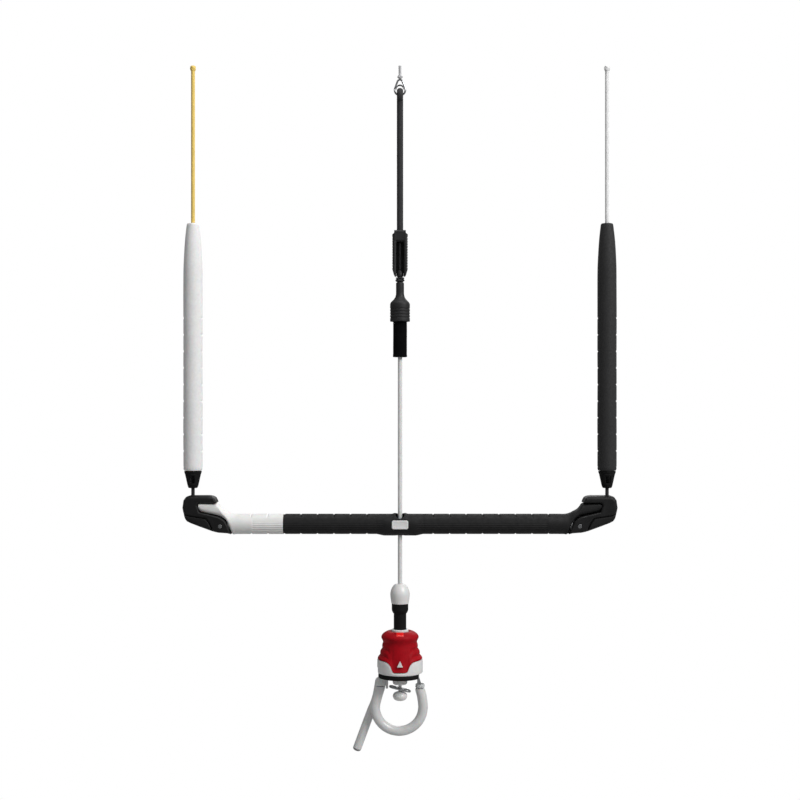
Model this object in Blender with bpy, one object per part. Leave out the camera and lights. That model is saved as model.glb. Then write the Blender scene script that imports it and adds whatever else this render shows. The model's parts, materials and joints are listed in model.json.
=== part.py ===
"""Kite control bar: bar, leaders with floats, trim adjuster, swivel, quick release and chicken loop.

Lengths below are millimetres and become metres when a mesh is made. X runs along the bar, Z runs up
towards the kite, and the rider sits on the -Y side. The origin is the top end of the centre line.
"""
import math

import bmesh
import bpy
from mathutils import Vector

MM = 0.001
GAP = 0.3
SIDES = 16
FINE_SIDES = 20

# Driving dimensions
BAR_Z = -550.0
GRIP_R = 12.15
TUBE_R = 9.0
TUBE_BORE_R = 7.5
TUBE_HALF = 206.0
HUB_HALF = 28.2
WHITE_GRIP_X = 139.7
LEADER_X = 248.4
LEADER_PIVOT_Z = -523.5
LEADER_R = 2.4
PRELINE_R = 2.2
FLOAT_TOP_Z = -189.6
FLOAT_BOTTOM_Z = -486.0
FLOAT_R = 11.45
TRIM_ROPE_R = 3.9
TRIM_CORE_R = 1.7
CLEAT_TOP_Z = -198.0
DEPOWER_R = 2.6
DEPOWER_TOP_Z = -333.3
DEPOWER_BOTTOM_Z = -630.6
DOME_TOP_Z = -622.0
SLEEVE_TOP_Z = -678.4
BASE_TOP_Z = -711.1
BASE_BOTTOM_Z = -728.0
BASE_R = 27.2
RING_BOTTOM_Z = -732.8
LOOP_R = 5.8
LOOP_BOW_R = 28.7
LOOP_CENTRE = (-1.1, -769.8)
HINGE = (-20.5, -730.55)
FINGER_R = 5.15
FINGER_Y = 11.5
FINGER_PIVOT = (-26.0, -741.0)
PLATE_TILT_DEG = 13.7
SLOT_LOW_X = 20.0

for old in list(bpy.data.objects):
    bpy.data.objects.remove(old)

MATERIALS = {}
PIVOTS = {}


def material(name, colour, roughness, metallic=0.0):
    made = bpy.data.materials.new(name)
    made.use_nodes = True
    shader = made.node_tree.nodes["Principled BSDF"]
    shader.inputs["Base Color"].default_value = (*colour, 1.0)
    shader.inputs["Roughness"].default_value = roughness
    shader.inputs["Metallic"].default_value = metallic
    MATERIALS[name] = made


def make_materials():
    material("black_plastic", (0.02, 0.02, 0.022), 0.5)
    material("black_rubber", (0.025, 0.025, 0.026), 0.75)
    material("black_foam", (0.022, 0.022, 0.024), 0.8)
    material("white_foam", (0.82, 0.82, 0.82), 0.75)
    material("white_plastic", (0.85, 0.85, 0.84), 0.35)
    material("white_tube", (0.78, 0.78, 0.77), 0.3)
    material("clear_plastic", (0.8, 0.83, 0.83), 0.15)
    material("red_plastic", (0.55, 0.01, 0.03), 0.45)
    material("steel", (0.6, 0.61, 0.62), 0.25, 1.0)
    material("aluminium", (0.55, 0.56, 0.57), 0.35, 1.0)
    material("dark_rope", (0.06, 0.06, 0.065), 0.85)
    material("grey_line", (0.35, 0.35, 0.36), 0.8)
    material("white_line", (0.72, 0.72, 0.72), 0.8)
    material("yellow_line", (0.85, 0.58, 0.1), 0.8)


def pivot(name, x, y, z, parent=None):
    """An empty on a joint's axis; every piece of that body hangs under it."""
    empty = bpy.data.objects.new(name + "_pivot", None)
    bpy.context.scene.collection.objects.link(empty)
    PIVOTS[name] = (empty, Vector((x, y, z)))
    if parent:
        empty.parent, above = PIVOTS[parent]
    else:
        above = Vector()
    empty.location = (Vector((x, y, z)) - above) * MM


def make_pivots():
    pivot("trim_top", 0, 0, 0)
    pivot("depower", 0, 0, CLEAT_TOP_Z, "trim_top")
    pivot("line_guide", 0, 0, BAR_Z, "depower")
    pivot("bar", 0, 0, BAR_Z, "line_guide")
    pivot("left_leader", -LEADER_X, 0, LEADER_PIVOT_Z, "bar")
    pivot("right_leader", LEADER_X, 0, LEADER_PIVOT_Z, "bar")
    pivot("release", 0, 0, -640.0, "depower")
    pivot("sleeve", 0, 0, SLEEVE_TOP_Z, "release")
    pivot("loop", HINGE[0], 0, HINGE[1], "release")
    pivot("finger", FINGER_PIVOT[0], FINGER_Y, FINGER_PIVOT[1], "loop")
    pivot("leash", 0, 0, -747.9, "release")


def hang(obj, body, at=(0, 0, 0), turn=(0, 0, 0)):
    """Parents obj under its body's pivot, placed at a point in millimetres."""
    empty, centre = PIVOTS[body]
    bpy.context.scene.collection.objects.link(obj)
    obj.parent = empty
    obj.location = (Vector(at) - centre) * MM
    obj.rotation_euler = turn
    return obj


def guide(obj):
    """Marks a cutter or a union operand, which isn't a piece of its own."""
    obj.hide_render = True
    obj.display_type = "WIRE"
    return obj


def finish_mesh(name, bm, slot):
    bmesh.ops.remove_doubles(bm, verts=bm.verts, dist=0.0001)
    bmesh.ops.recalc_face_normals(bm, faces=bm.faces)
    bmesh.ops.scale(bm, vec=(MM, MM, MM), verts=bm.verts)
    mesh = bpy.data.meshes.new(name)
    bm.to_mesh(mesh)
    bm.free()
    mesh.materials.append(MATERIALS[slot])
    mesh.shade_smooth()
    mesh.set_sharp_from_angle(angle=math.radians(35))
    return bpy.data.objects.new(name, mesh)


def to_axis(point, axis):
    """Turns a point made about Z so that its axis is X or Y."""
    x, y, z = point
    if axis == "X":
        return (z, x, y)
    if axis == "Y":
        return (x, z, y)
    return (x, y, z)


def turned(name, profile, slot, body, hollow=False, sides=SIDES, axis="Z", at=(0, 0, 0), turn=(0, 0, 0)):
    """A turned piece. profile lists (radius, height); hollow closes it into a ring section."""
    bm = bmesh.new()
    rings = []
    for radius, height in profile:
        if radius < 1e-6:
            vert = bm.verts.new(to_axis((0, 0, height), axis))
            rings.append([vert] * sides)
            continue
        ring = []
        for i in range(sides):
            angle = math.tau * i / sides
            spot = (radius * math.cos(angle), radius * math.sin(angle), height)
            ring.append(bm.verts.new(to_axis(spot, axis)))
        rings.append(ring)
    pairs = list(zip(rings, rings[1:]))
    if hollow:
        pairs.append((rings[-1], rings[0]))
    for lower, upper in pairs:
        for i in range(sides):
            j = (i + 1) % sides
            corners = [lower[i], lower[j], upper[j], upper[i]]
            distinct = list(dict.fromkeys(corners))
            if len(distinct) > 2:
                bm.faces.new(distinct)
    for ring, radius in ((rings[0], profile[0][0]), (rings[-1], profile[-1][0])):
        if not hollow and radius > 1e-6:
            bm.faces.new(ring)
    return hang(finish_mesh(name, bm, slot), body, at, turn)


def extruded(name, outline, low, high, slot, body, axis="Y", rim=0.0, at=(0, 0, 0), turn=(0, 0, 0)):
    """A prism of an outline, along Y from an XZ outline or along Z from an XY one."""
    bm = bmesh.new()
    if axis == "Y":
        base = [bm.verts.new((u, low, v)) for u, v in outline]
        along = Vector((0, high - low, 0))
    else:
        base = [bm.verts.new((u, v, low)) for u, v in outline]
        along = Vector((0, 0, high - low))
    face = bm.faces.new(base)
    grown = bmesh.ops.extrude_face_region(bm, geom=[face])
    moved = [item for item in grown["geom"] if isinstance(item, bmesh.types.BMVert)]
    bmesh.ops.translate(bm, vec=along, verts=moved)
    bmesh.ops.recalc_face_normals(bm, faces=bm.faces)
    if rim:
        long_edges = [e for e in bm.edges if abs((e.verts[0].co - e.verts[1].co).dot(along)) < 1e-6]
        bmesh.ops.bevel(bm, geom=long_edges, offset=rim, segments=1, affect="EDGES", clamp_overlap=True)
    return hang(finish_mesh(name, bm, slot), body, at, turn)


def corded(name, points, radius, slot, body, sides_step=2, cyclic=False, round_start=False):
    """A tube along a list of points, as a curve with a round bevel and filled ends."""
    curve = bpy.data.curves.new(name, "CURVE")
    curve.dimensions = "3D"
    curve.bevel_depth = radius * MM
    curve.bevel_resolution = sides_step
    curve.use_fill_caps = not cyclic
    curve.render_resolution_u = 0
    curve.materials.append(MATERIALS[slot])
    points = [Vector(point) for point in points]
    widths = [1.0] * len(points)
    if round_start:
        back = (points[0] - points[1]).normalized() * radius
        steps = [math.radians(a) for a in (75, 50, 25)]
        points = [points[0] + back * math.sin(a) for a in steps] + points
        widths = [math.cos(a) for a in steps] + widths
    spline = curve.splines.new("POLY")
    spline.points.add(len(points) - 1)
    for spot, point, width in zip(spline.points, points, widths):
        spot.co = (*(point * MM), 1.0)
        spot.radius = width
    spline.use_cyclic_u = cyclic
    return hang(bpy.data.objects.new(name, curve), body)


def meshed(obj):
    """Turns a curve object into a mesh object of the same name, so that modifiers can cut it."""
    name = obj.name
    mesh = bpy.data.meshes.new_from_object(obj)
    bm = bmesh.new()
    bm.from_mesh(mesh)
    bmesh.ops.remove_doubles(bm, verts=bm.verts, dist=0.0000001)
    bmesh.ops.recalc_face_normals(bm, faces=bm.faces)
    bm.to_mesh(mesh)
    bm.free()
    solid = bpy.data.objects.new(name + "_mesh", mesh)
    bpy.context.scene.collection.objects.link(solid)
    solid.parent = obj.parent
    solid.location = obj.location
    bpy.data.objects.remove(obj)
    solid.name = name
    return solid


def combine(obj, other, operation="DIFFERENCE"):
    modifier = obj.modifiers.new(operation.lower(), "BOOLEAN")
    modifier.operation = operation
    modifier.solver = "EXACT"
    modifier.object = guide(other)
    return obj


def cut_box(obj, name, body, low, high):
    """Cuts a box given by its two corners."""
    outline = [(low[0], low[2]), (high[0], low[2]), (high[0], high[2]), (low[0], high[2])]
    return combine(obj, extruded(name, outline, low[1], high[1], "steel", body))


def cut_hole(obj, name, body, radius, low, high, axis, at=(0, 0, 0), sides=SIDES):
    """Drills a round hole along an axis."""
    profile = [(radius, low), (radius, high)]
    return combine(obj, turned(name, profile, "steel", body, sides=sides, axis=axis, at=at))


def line_points(top, bottom, step, x=0.0):
    """Points down a taut line, from its top to its bottom."""
    count = max(2, round((top - bottom) / step))
    return [(x, 0.0, top + (bottom - top) * i / count) for i in range(count + 1)]


def smooth_route(spots, per_span):
    """Points on a smooth curve through spots (Catmull-Rom)."""
    spots = [Vector(s) for s in spots]
    padded = [2 * spots[0] - spots[1], *spots, 2 * spots[-1] - spots[-2]]
    route = []
    for i in range(1, len(padded) - 2):
        before, start, end, after = padded[i - 1:i + 3]
        linear = end - before
        square = 2 * before - 5 * start + 4 * end - after
        cube = 3 * start - before - 3 * end + after
        for k in range(per_span):
            t = k / per_span
            route.append(start + 0.5 * (linear * t + square * t ** 2 + cube * t ** 3))
    route.append(spots[-1])
    return route


def curved_plate(name, rows, inner, outer, slot, body, columns=6):
    """A plate bent round Z on the rider's side. rows lists (height, half width)."""
    bm = bmesh.new()
    grid = []
    for radius in (inner, outer):
        sheet = []
        for height, half_width in rows:
            reach = half_width / BASE_R
            strip = []
            for i in range(columns + 1):
                angle = reach * (2 * i / columns - 1)
                strip.append(bm.verts.new((radius * math.sin(angle), -radius * math.cos(angle), height)))
            sheet.append(strip)
        grid.append(sheet)
    last = len(rows) - 1
    for sheet in grid:
        for r in range(last):
            for c in range(columns):
                bm.faces.new([sheet[r][c], sheet[r][c + 1], sheet[r + 1][c + 1], sheet[r + 1][c]])
    for r in range(last):
        for c in (0, columns):
            bm.faces.new([grid[0][r][c], grid[0][r + 1][c], grid[1][r + 1][c], grid[1][r][c]])
    for r in (0, last):
        for c in range(columns):
            bm.faces.new([grid[0][r][c], grid[0][r][c + 1], grid[1][r][c + 1], grid[1][r][c]])
    return hang(finish_mesh(name, bm, slot), body)


def lofted_x(name, sections, slot, body, sides=FINE_SIDES):
    """A skin along X. sections lists (x, reach up, reach down, reach front and back)."""
    bm = bmesh.new()
    rings = []
    for x, up, down, side in sections:
        ring = []
        for i in range(sides):
            angle = math.tau * i / sides
            height = up if math.sin(angle) > 0 else down
            ring.append(bm.verts.new((x, side * math.cos(angle), BAR_Z + height * math.sin(angle))))
        rings.append(ring)
    for near, far in zip(rings, rings[1:]):
        for i in range(sides):
            j = (i + 1) % sides
            bm.faces.new([near[i], near[j], far[j], far[i]])
    bm.faces.new(rings[0])
    bm.faces.new(rings[-1])
    return hang(finish_mesh(name, bm, slot), body)


# Centre line and trim rope -----------------------------------------------------------------------

def make_front_line():
    knotted = [(0, 0), (1.9, -0.3), (2.7, -1.4), (2.7, -3.0), (1.7, -4.4), (1.7, -11.8), (2.6, -13.0),
               (2.6, -14.6), (1.9, -15.6), (0, -15.6)]
    turned("front_line", knotted, "grey_line", "trim_top", sides=12)


def make_shackle():
    """A pear of steel wire: a small bow at the top, a wide bow at the bottom."""
    wire_r, top_r, bottom_r = 1.1, 3.2, 6.4
    top_z, bottom_z = -20.3, -29.5
    points = []
    for i in range(7):
        angle = math.radians(15 + 150 * i / 6)
        points.append((top_r * math.cos(angle), 0, top_z + top_r * math.sin(angle)))
    for i in range(11):
        angle = math.radians(165 + 210 * i / 10)
        points.append((bottom_r * math.cos(angle), 0, bottom_z + bottom_r * math.sin(angle)))
    corded("shackle_ring", points, wire_r, "steel", "trim_top", cyclic=True)

    outer_r, inner_r, centre_z = 4.75, 3.65, -28.2
    arc = [math.pi * i / 8 for i in range(9)]
    outline = [(outer_r * math.cos(a), centre_z + outer_r * math.sin(a)) for a in arc]
    outline += [(inner_r * math.cos(a), centre_z + inner_r * math.sin(a)) for a in reversed(arc)]
    extruded("thimble", outline, -3.2, 3.2, "steel", "trim_top")


def make_trim_rope():
    """The thick cover, with an eye that goes round the shackle's bottom bow."""
    eye_depth, eye_height, strand_r, eye_z = 5.0, 5.8, 3.2, -35.9
    rope = meshed(corded("trim_rope", line_points(-39.6, -211.0, 14.0), TRIM_ROPE_R, "dark_rope",
                         "trim_top", sides_step=3))
    bend = [math.tau * i / 18 for i in range(18)]
    ring = [(0, eye_depth * math.cos(a), eye_z + eye_height * math.sin(a)) for a in bend]
    eye = corded("rope_eye", ring, strand_r, "dark_rope", "trim_top", cyclic=True)
    combine(rope, meshed(eye), "UNION")

    core = meshed(corded("trim_core", line_points(-211.3, -289.0, 5.2), TRIM_CORE_R, "dark_rope",
                         "trim_top"))
    knot = [(0, -287.5), (3.4, -287.8), (4.5, -290), (4.5, -294), (3.2, -296.5), (0, -297)]
    combine(core, turned("core_knot", knot, "dark_rope", "trim_top", sides=12), "UNION")


def make_trim_cleat():
    """A fork with serrated sides and a web behind its slot; the rope comes in through its bridge."""
    half, tip, cap_half, slot_half, depth = 9.35, 6.85, 7.0, 4.35, 7.0
    bridge_z, end_z, tooth_count, tooth_depth = -211.6, -253.0, 12, 0.55
    teeth_top, teeth_bottom = -205.0, -244.0
    pitch = (teeth_top - teeth_bottom) / tooth_count
    right = [(cap_half, CLEAT_TOP_Z), (cap_half, -201.5), (half, -203.2), (half, teeth_top)]
    for i in range(tooth_count):
        top = teeth_top - i * pitch
        right.append((half - tooth_depth, top - 0.5 * pitch))
        right.append((half, top - 0.95 * pitch))
    right += [(tip + 0.6, -250.5), (tip - 0.6, end_z), (slot_half, end_z), (slot_half, bridge_z - 2.0),
              (slot_half - 1.2, bridge_z - 0.5)]
    outline = right + [(-x, z) for x, z in reversed(right)]
    cleat = extruded("trim_cleat", outline, -depth, depth, "black_plastic", "depower")
    web_half, web_front, web_back = slot_half + 0.8, 4.6, depth - 0.5
    web = [(-web_half, bridge_z + 1.0), (web_half, bridge_z + 1.0), (web_half, -249.0), (-web_half, -249.0)]
    combine(cleat, extruded("cleat_web", web, web_front, web_back, "black_plastic", "depower"), "UNION")
    cut_hole(cleat, "cleat_bore", "depower", TRIM_ROPE_R + GAP, -215.0, -197.0, "Z", sides=16)


def make_trim_boot():
    """Rubber boot: a neck that flares into a ribbed skirt, hollow for the core's knot."""
    neck_r, skirt_r, rib_depth, rib_pitch, first_rib_z = 4.7, 11.8, 0.7, 3.55, -291.4
    outer = [(2.6, -246.2), (3.9, -250.0), (3.9, -252.6), (3.2, -253.6), (3.2, -260.0), (neck_r, -260.4),
             (neck_r, -277.0), (6.0, -279.5), (9.8, -283.0), (skirt_r, -285.4)]
    for i in range(4):
        top = first_rib_z - i * rib_pitch
        outer += [(skirt_r, top), (skirt_r - rib_depth, top - 0.7), (skirt_r, top - 1.4)]
    outer += [(skirt_r - 0.8, -307.4)]
    inner = [(8.6, -307.4), (8.6, -300.0), (5.2, -299.7), (5.2, -287.2), (2.1, -286.9), (2.1, -246.2)]
    turned("trim_boot", outer + inner, "black_rubber", "depower", hollow=True)
    ring = [(3.6, -254.2), (4.6, -254.2), (5.0, -255.6), (5.0, -258.2), (4.6, -259.6), (3.6, -259.6)]
    turned("neck_grommet", ring, "dark_rope", "depower", hollow=True, sides=16)
    tube = [(8.3, -300.3), (8.3, -350.0), (2.9, -350.0), (2.9, -334.4), (5.2, -334.1), (5.2, -300.3)]
    turned("trim_sleeve", tube, "black_rubber", "depower", hollow=True)


def make_depower_line():
    line = meshed(corded("depower_line", line_points(DEPOWER_TOP_Z + 1, DEPOWER_BOTTOM_Z - 2, 13.0),
                         DEPOWER_R, "white_line", "depower"))
    upper = [(0, -326.8), (4.0, -327.3), (4.8, -329.0), (4.8, -333.6), (0, -333.6)]
    lower = [(0, -630.5), (5.5, -630.5), (5.5, -635.4), (4.6, -636.6), (0, -636.6)]
    combine(line, turned("upper_stopper", upper, "white_line", "depower", sides=12), "UNION")
    combine(line, turned("lower_stopper", lower, "white_line", "depower", sides=12), "UNION")


# Swivel and release ------------------------------------------------------------------------------

def make_swivel():
    dome = [(4.4, DOME_TOP_Z), (6.8, -622.7), (9.4, -626.0), (11.1, -630.0), (11.7, -633.6), (11.5, -637.5),
            (10.4, -645.5), (7.6, -645.5), (7.6, -630.2), (2.95, -629.9), (2.95, DOME_TOP_Z)]
    turned("swivel_dome", dome, "white_plastic", "depower", hollow=True, sides=FINE_SIDES)
    cap = [(3.4, -641.6), (7.3, -641.6), (7.3, -645.2), (3.4, -645.2)]
    turned("dome_cap", cap, "steel", "depower", hollow=True)
    pin = [(0, -637.0), (6.4, -637.0), (6.9, -637.6), (6.9, -641.2), (3.0, -641.2), (3.0, -656.6),
           (2.4, -657.2), (0, -657.2)]
    turned("swivel_pin", pin, "steel", "release", sides=16)
    collar = [(3.4, -645.9), (9.95, -645.9), (9.95, -653.3), (8.3, -656.9), (7.8, -656.9), (7.8, -649.2),
              (3.4, -648.9)]
    turned("swivel_collar", collar, "black_plastic", "release", hollow=True)
    nut = [(3.9, -649.6), (5.9, -649.6), (5.9, -653.4), (3.9, -653.4)]
    turned("swivel_nut", nut, "steel", "release", hollow=True, sides=6)
    tube = [(6.2, -649.5), (7.5, -649.5), (7.5, -721.2), (6.2, -721.2)]
    turned("release_tube", tube, "black_plastic", "release", hollow=True)
    retainer = [(7.8, -676.2), (9.9, -676.2), (10.3, -676.6), (10.3, -680.0), (7.8, -680.0)]
    turned("spring_retainer", retainer, "white_plastic", "release", hollow=True)


def make_release_spring():
    coil_r, wire_r, turns, per_turn = 9.1, 0.75, 4, 10
    top, bottom = -681.2, -700.8
    steps = int(turns * per_turn)
    coil = []
    for i in range(steps + 1):
        angle = math.tau * i / per_turn
        height = top + (bottom - top) * i / steps
        coil.append((coil_r * math.cos(angle), coil_r * math.sin(angle), height))
    corded("release_spring", coil, wire_r, "steel", "release", sides_step=1)


SHIELD_ROWS = [(-705.0, 12.6), (-711.0, 11.7), (-720.0, 10.6), (-722.3, 9.6), (-723.2, 8.0)]


def make_sleeve():
    outer = [(10.75, SLEEVE_TOP_Z), (15.4, SLEEVE_TOP_Z), (20.2, -681.2), (22.3, -684.0), (22.5, -686.2),
             (20.9, -689.6), (20.2, -691.4), (21.3, -694.8), (21.3, -697.4), (23.8, -702.4), (23.9, -705.0),
             (26.5, -709.6), (26.6, -710.8)]
    inner = [(24.6, -710.8), (17.5, -706.5), (8.0, -704.8), (8.0, -702.0), (10.75, -701.7)]
    sleeve = turned("release_sleeve", outer + inner, "red_plastic", "sleeve", hollow=True, sides=FINE_SIDES)
    shield = curved_plate("sleeve_shield", SHIELD_ROWS, 24.9, 27.0, "red_plastic", "sleeve")
    combine(sleeve, shield, "UNION")
    arrow = [(-3.95, -716.8), (3.95, -716.8), (0, -709.6)]
    extruded("arrow_inlay", arrow, -27.9, -27.3, "white_plastic", "sleeve")


def make_release_base():
    body = [(7.8, BASE_TOP_Z), (BASE_R - 0.6, BASE_TOP_Z), (BASE_R, -711.9), (BASE_R, -726.6),
            (BASE_R - 1.0, BASE_BOTTOM_Z), (2.3, BASE_BOTTOM_Z), (2.3, -721.8), (7.8, -721.5)]
    base = turned("release_base", body, "white_plastic", "release", hollow=True, sides=FINE_SIDES)
    rows = [(z - 0.4, w + 0.5) for z, w in SHIELD_ROWS[1:]]
    rows[0] = (-709.0, rows[0][1])
    combine(base, curved_plate("shield_recess", rows, 24.4, 30.0, "steel", "release"))
    cut_box(base, "tongue_slot", "release", (SLOT_LOW_X, -2.4, -729.0), (24.3, 2.4, -719.0))
    cut_box(base, "knuckle_recess", "release", (-29.0, -6.4, -729.0), (-16.5, 6.4, -721.3))

    plate = [(9.2, BASE_BOTTOM_Z - GAP), (25.6, BASE_BOTTOM_Z - GAP), (26.4, -729.2), (26.4, -731.8),
             (25.4, RING_BOTTOM_Z), (9.2, RING_BOTTOM_Z)]
    ring = turned("base_ring", plate, "black_plastic", "release", hollow=True, sides=FINE_SIDES)
    cut_box(ring, "ring_flat", "release", (21.6, -30.0, -735.0), (30.0, 30.0, -726.0))
    cut_box(ring, "ring_tongue_way", "release", (SLOT_LOW_X, -2.4, -735.5), (22.5, 2.4, -725.5))
    cut_box(ring, "ring_knuckle_way", "release", (-29.0, -6.4, -735.0), (-16.5, 6.4, -726.0))
    hinge_at = (HINGE[0], 0, HINGE[1])
    cut_hole(ring, "hinge_hole", "release", 1.5, -13.6, 13.6, "Y", at=hinge_at, sides=12)
    pin = [(1.2, -13.2), (1.2, 13.2)]
    turned("loop_hinge_pin", pin, "steel", "release", sides=12, axis="Y", at=hinge_at)

    boss = [(2.3, -728.4), (8.8, -728.4), (8.8, -740.8), (7.9, -742.3), (2.3, -742.3)]
    turned("lower_boss", boss, "white_plastic", "release", hollow=True)
    corded("safety_line", line_points(-700.0, -750.9, 5.5), 2.0, "white_line", "release")
    ball = [(0, -751.2), (4.2, -751.2), (7.3, -752.6), (8.7, -755.2), (8.6, -757.6), (7.0, -760.6),
            (4.2, -762.0), (0, -762.0)]
    turned("stopper_ball", ball, "white_plastic", "release")


def make_leash_plate():
    half_length, half_width, thick, eye_x, eye_r = 13.4, 5.6, 2.2, 8.6, 3.5
    arc = [math.radians(-90 + 180 * i / 8) for i in range(9)]
    shift = half_length - half_width
    outline = [(shift + half_width * math.cos(a), half_width * math.sin(a)) for a in arc]
    outline += [(-x, -y) for x, y in outline]
    tilt = (0, math.radians(PLATE_TILT_DEG), 0)
    centre = (0, 0, -747.9)
    plate = extruded("leash_plate", outline, -thick / 2, thick / 2, "steel", "leash", axis="Z", at=centre,
                     turn=tilt)
    for label, x, radius in (("left_eye", -eye_x, eye_r), ("right_eye", eye_x, eye_r), ("stem_hole", 0, 2.8)):
        spot = (x * math.cos(tilt[1]), 0, centre[2] - x * math.sin(tilt[1]))
        cutter = turned(label, [(radius, -4), (radius, 4)], "steel", "leash", sides=14, at=spot, turn=tilt)
        combine(plate, cutter)


# Chicken loop and finger -------------------------------------------------------------------------

def make_loop():
    bow_x, bow_z = LOOP_CENTRE
    spots = [(-23.7, 0, -744.9), (-23.9, 0, -747.4), (-27.2, 0, -757.5)]
    for i in range(9):
        angle = math.radians(180 + 180 * i / 8)
        spots.append((bow_x + LOOP_BOW_R * math.cos(angle), 0, bow_z + LOOP_BOW_R * math.sin(angle)))
    spots += [(26.3, 0, -757.5), (24.3, 0, -749.6), (24.2, 0, -747.0)]
    corded("chicken_loop", smooth_route(spots, 2), LOOP_R, "white_tube", "loop", sides_step=4)

    knuckle_r, half_depth = 3.2, 6.0
    block = [(-28.2, -743.9), (-28.2, -738.0), (-26.6, -735.4), (-23.7, -733.6), (-16.2, -733.6),
             (-14.1, -736.0), (-14.3, -747.3), (-17.1, -747.3), (-17.1, -743.9)]
    body = extruded("loop_block", block, -half_depth, half_depth, "white_plastic", "loop", rim=1.2)
    hinge_at = (HINGE[0], 0, HINGE[1])
    knuckle = turned("loop_knuckle", [(knuckle_r, -half_depth), (knuckle_r, half_depth)], "steel", "loop",
                     axis="Y", at=hinge_at, sides=16)
    combine(body, knuckle, "UNION")
    stud_at = (FINGER_PIVOT[0], 0, FINGER_PIVOT[1])
    stud = turned("finger_stud", [(1.6, 4.0), (1.6, 16.9)], "steel", "loop", axis="Y", at=stud_at, sides=12)
    combine(body, stud, "UNION")
    cut_hole(body, "knuckle_hole", "loop", 1.5, -8, 8, "Y", at=hinge_at, sides=12)

    tongue = [(20.6, -746.2), (27.0, -746.2), (22.9, -734.0), (22.9, -722.6), (22.2, -721.8), (20.6, -721.8)]
    extruded("loop_tongue", tongue, -1.9, 1.9, "steel", "loop")
    cup = [(4.3, -741.7), (5.3, -741.7), (5.6, -742.4), (5.6, -746.3), (4.3, -746.3)]
    turned("loop_ferrule", cup, "clear_plastic", "loop", hollow=True, at=(24.0, 0, 0))


def make_finger():
    """A bent stick behind the loop; its round top end turns on the block's stud."""
    x, z = FINGER_PIVOT
    spots = [(x, FINGER_Y, z), (-26.4, FINGER_Y, -748.0), (-27.8, FINGER_Y, -757.0),
             (-30.4, FINGER_Y, -766.0), (-34.2, FINGER_Y, -775.0), (-38.8, FINGER_Y, -787.0),
             (-45.2, FINGER_Y, -804.2), (-51.75, FINGER_Y, -821.8)]
    stick = meshed(corded("finger_tube", smooth_route(spots, 2), FINGER_R, "white_tube", "finger",
                          sides_step=3, round_start=True))
    cut_hole(stick, "finger_hole", "finger", 2.0, -6, 6, "Y", at=(x, FINGER_Y, z), sides=12)
    lean = math.atan2(6.55, 17.6)
    plug = [(0, 0), (5.0, 0), (5.0, -0.6), (4.3, -1.9), (2.8, -2.7), (0, -3.0)]
    turned("finger_cap", plug, "grey_line", "finger", at=(-51.86, FINGER_Y, -822.08), turn=(0, lean, 0),
           sides=16)


# Bar ---------------------------------------------------------------------------------------------

def make_bar_centre():
    at = (0, 0, BAR_Z)
    tube = turned("core_tube", [(TUBE_BORE_R, -TUBE_HALF), (TUBE_R, -TUBE_HALF), (TUBE_R, TUBE_HALF),
                                (TUBE_BORE_R, TUBE_HALF)], "aluminium", "bar", hollow=True, axis="X", at=at)
    cut_hole(tube, "tube_cross_hole", "bar", 6.7, -12, 12, "Z", at=at)
    recess_r, recess_back, recess_at = 5.6, 1.3, (0, 0, BAR_Z + 12.4)
    cut_hole(tube, "tube_recess", "bar", recess_r, -20, recess_back, "Y", at=recess_at)

    sections = []
    for x in (-28.2, -22, -15, -11, -7, 0, 7, 11, 15, 22, 28.2):
        bulge = 1.85 * min(1.0, max(0.0, (28.2 - abs(x)) / 9.0))
        bump = 0.9 * min(1.0, max(0.0, (15 - abs(x)) / 4.5))
        front = 0.8 * min(1.0, max(0.0, (28.2 - abs(x)) / 12.0))
        sections.append((x, GRIP_R + bump, GRIP_R + bulge, GRIP_R + front))
    hub = lofted_x("hub_body", sections, "black_plastic", "bar")
    cut_hole(hub, "hub_tube_bore", "bar", TUBE_R + GAP, -40, 40, "X", at=at)
    flare = [(6.4, -14.6), (5.2, -9.4), (6.7, -9.2), (6.7, 9.2), (5.2, 9.4), (6.3, 13.6)]
    combine(hub, turned("hub_flare", flare, "steel", "bar", at=at))
    cut_hole(hub, "hub_recess", "bar", recess_r, -20, recess_back, "Y", at=recess_at)
    corner, half_x, half_z, badge_z, room = 1.6, 9.8, 5.2, BAR_Z - 0.2, 0.4
    cut_box(hub, "badge_pocket", "bar", (-half_x - room, -15.0, badge_z - half_z - room),
            (half_x + room, -11.3, badge_z + half_z + room))
    plate = []
    for cx, cz, start in ((1, 1, 0), (-1, 1, 90), (-1, -1, 180), (1, -1, 270)):
        for step in (0, 45, 90):
            angle = math.radians(start + step)
            plate.append((cx * (half_x - corner) + corner * math.cos(angle),
                          badge_z + cz * (half_z - corner) + corner * math.sin(angle)))
    extruded("hub_badge", plate, -13.2, -11.6, "white_plastic", "bar", rim=0.3)

    ball_r, line_way_r, seat_r = 4.6, 2.9, 4.9
    ring = [(line_way_r, -3.0)]
    for angle in (-40.7, -20, 0, 20, 40.7):
        ring.append((ball_r * math.cos(math.radians(angle)), ball_r * math.sin(math.radians(angle))))
    ring.append((line_way_r, 3.0))
    turned("line_guide_ring", ring, "steel", "line_guide", hollow=True, at=at)
    seat_top, seat_bottom = 6.5, -8.9
    seat = [(6.4, seat_top), (6.4, seat_bottom), (4.95, seat_bottom)]
    for angle in (-30.7, -15, 0, 15, 30.7):
        seat.append((seat_r * math.cos(math.radians(angle)), seat_r * math.sin(math.radians(angle))))
    seat.append((4.95, seat_top))
    turned("hub_seat", seat, "black_plastic", "bar", hollow=True, at=at)


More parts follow.
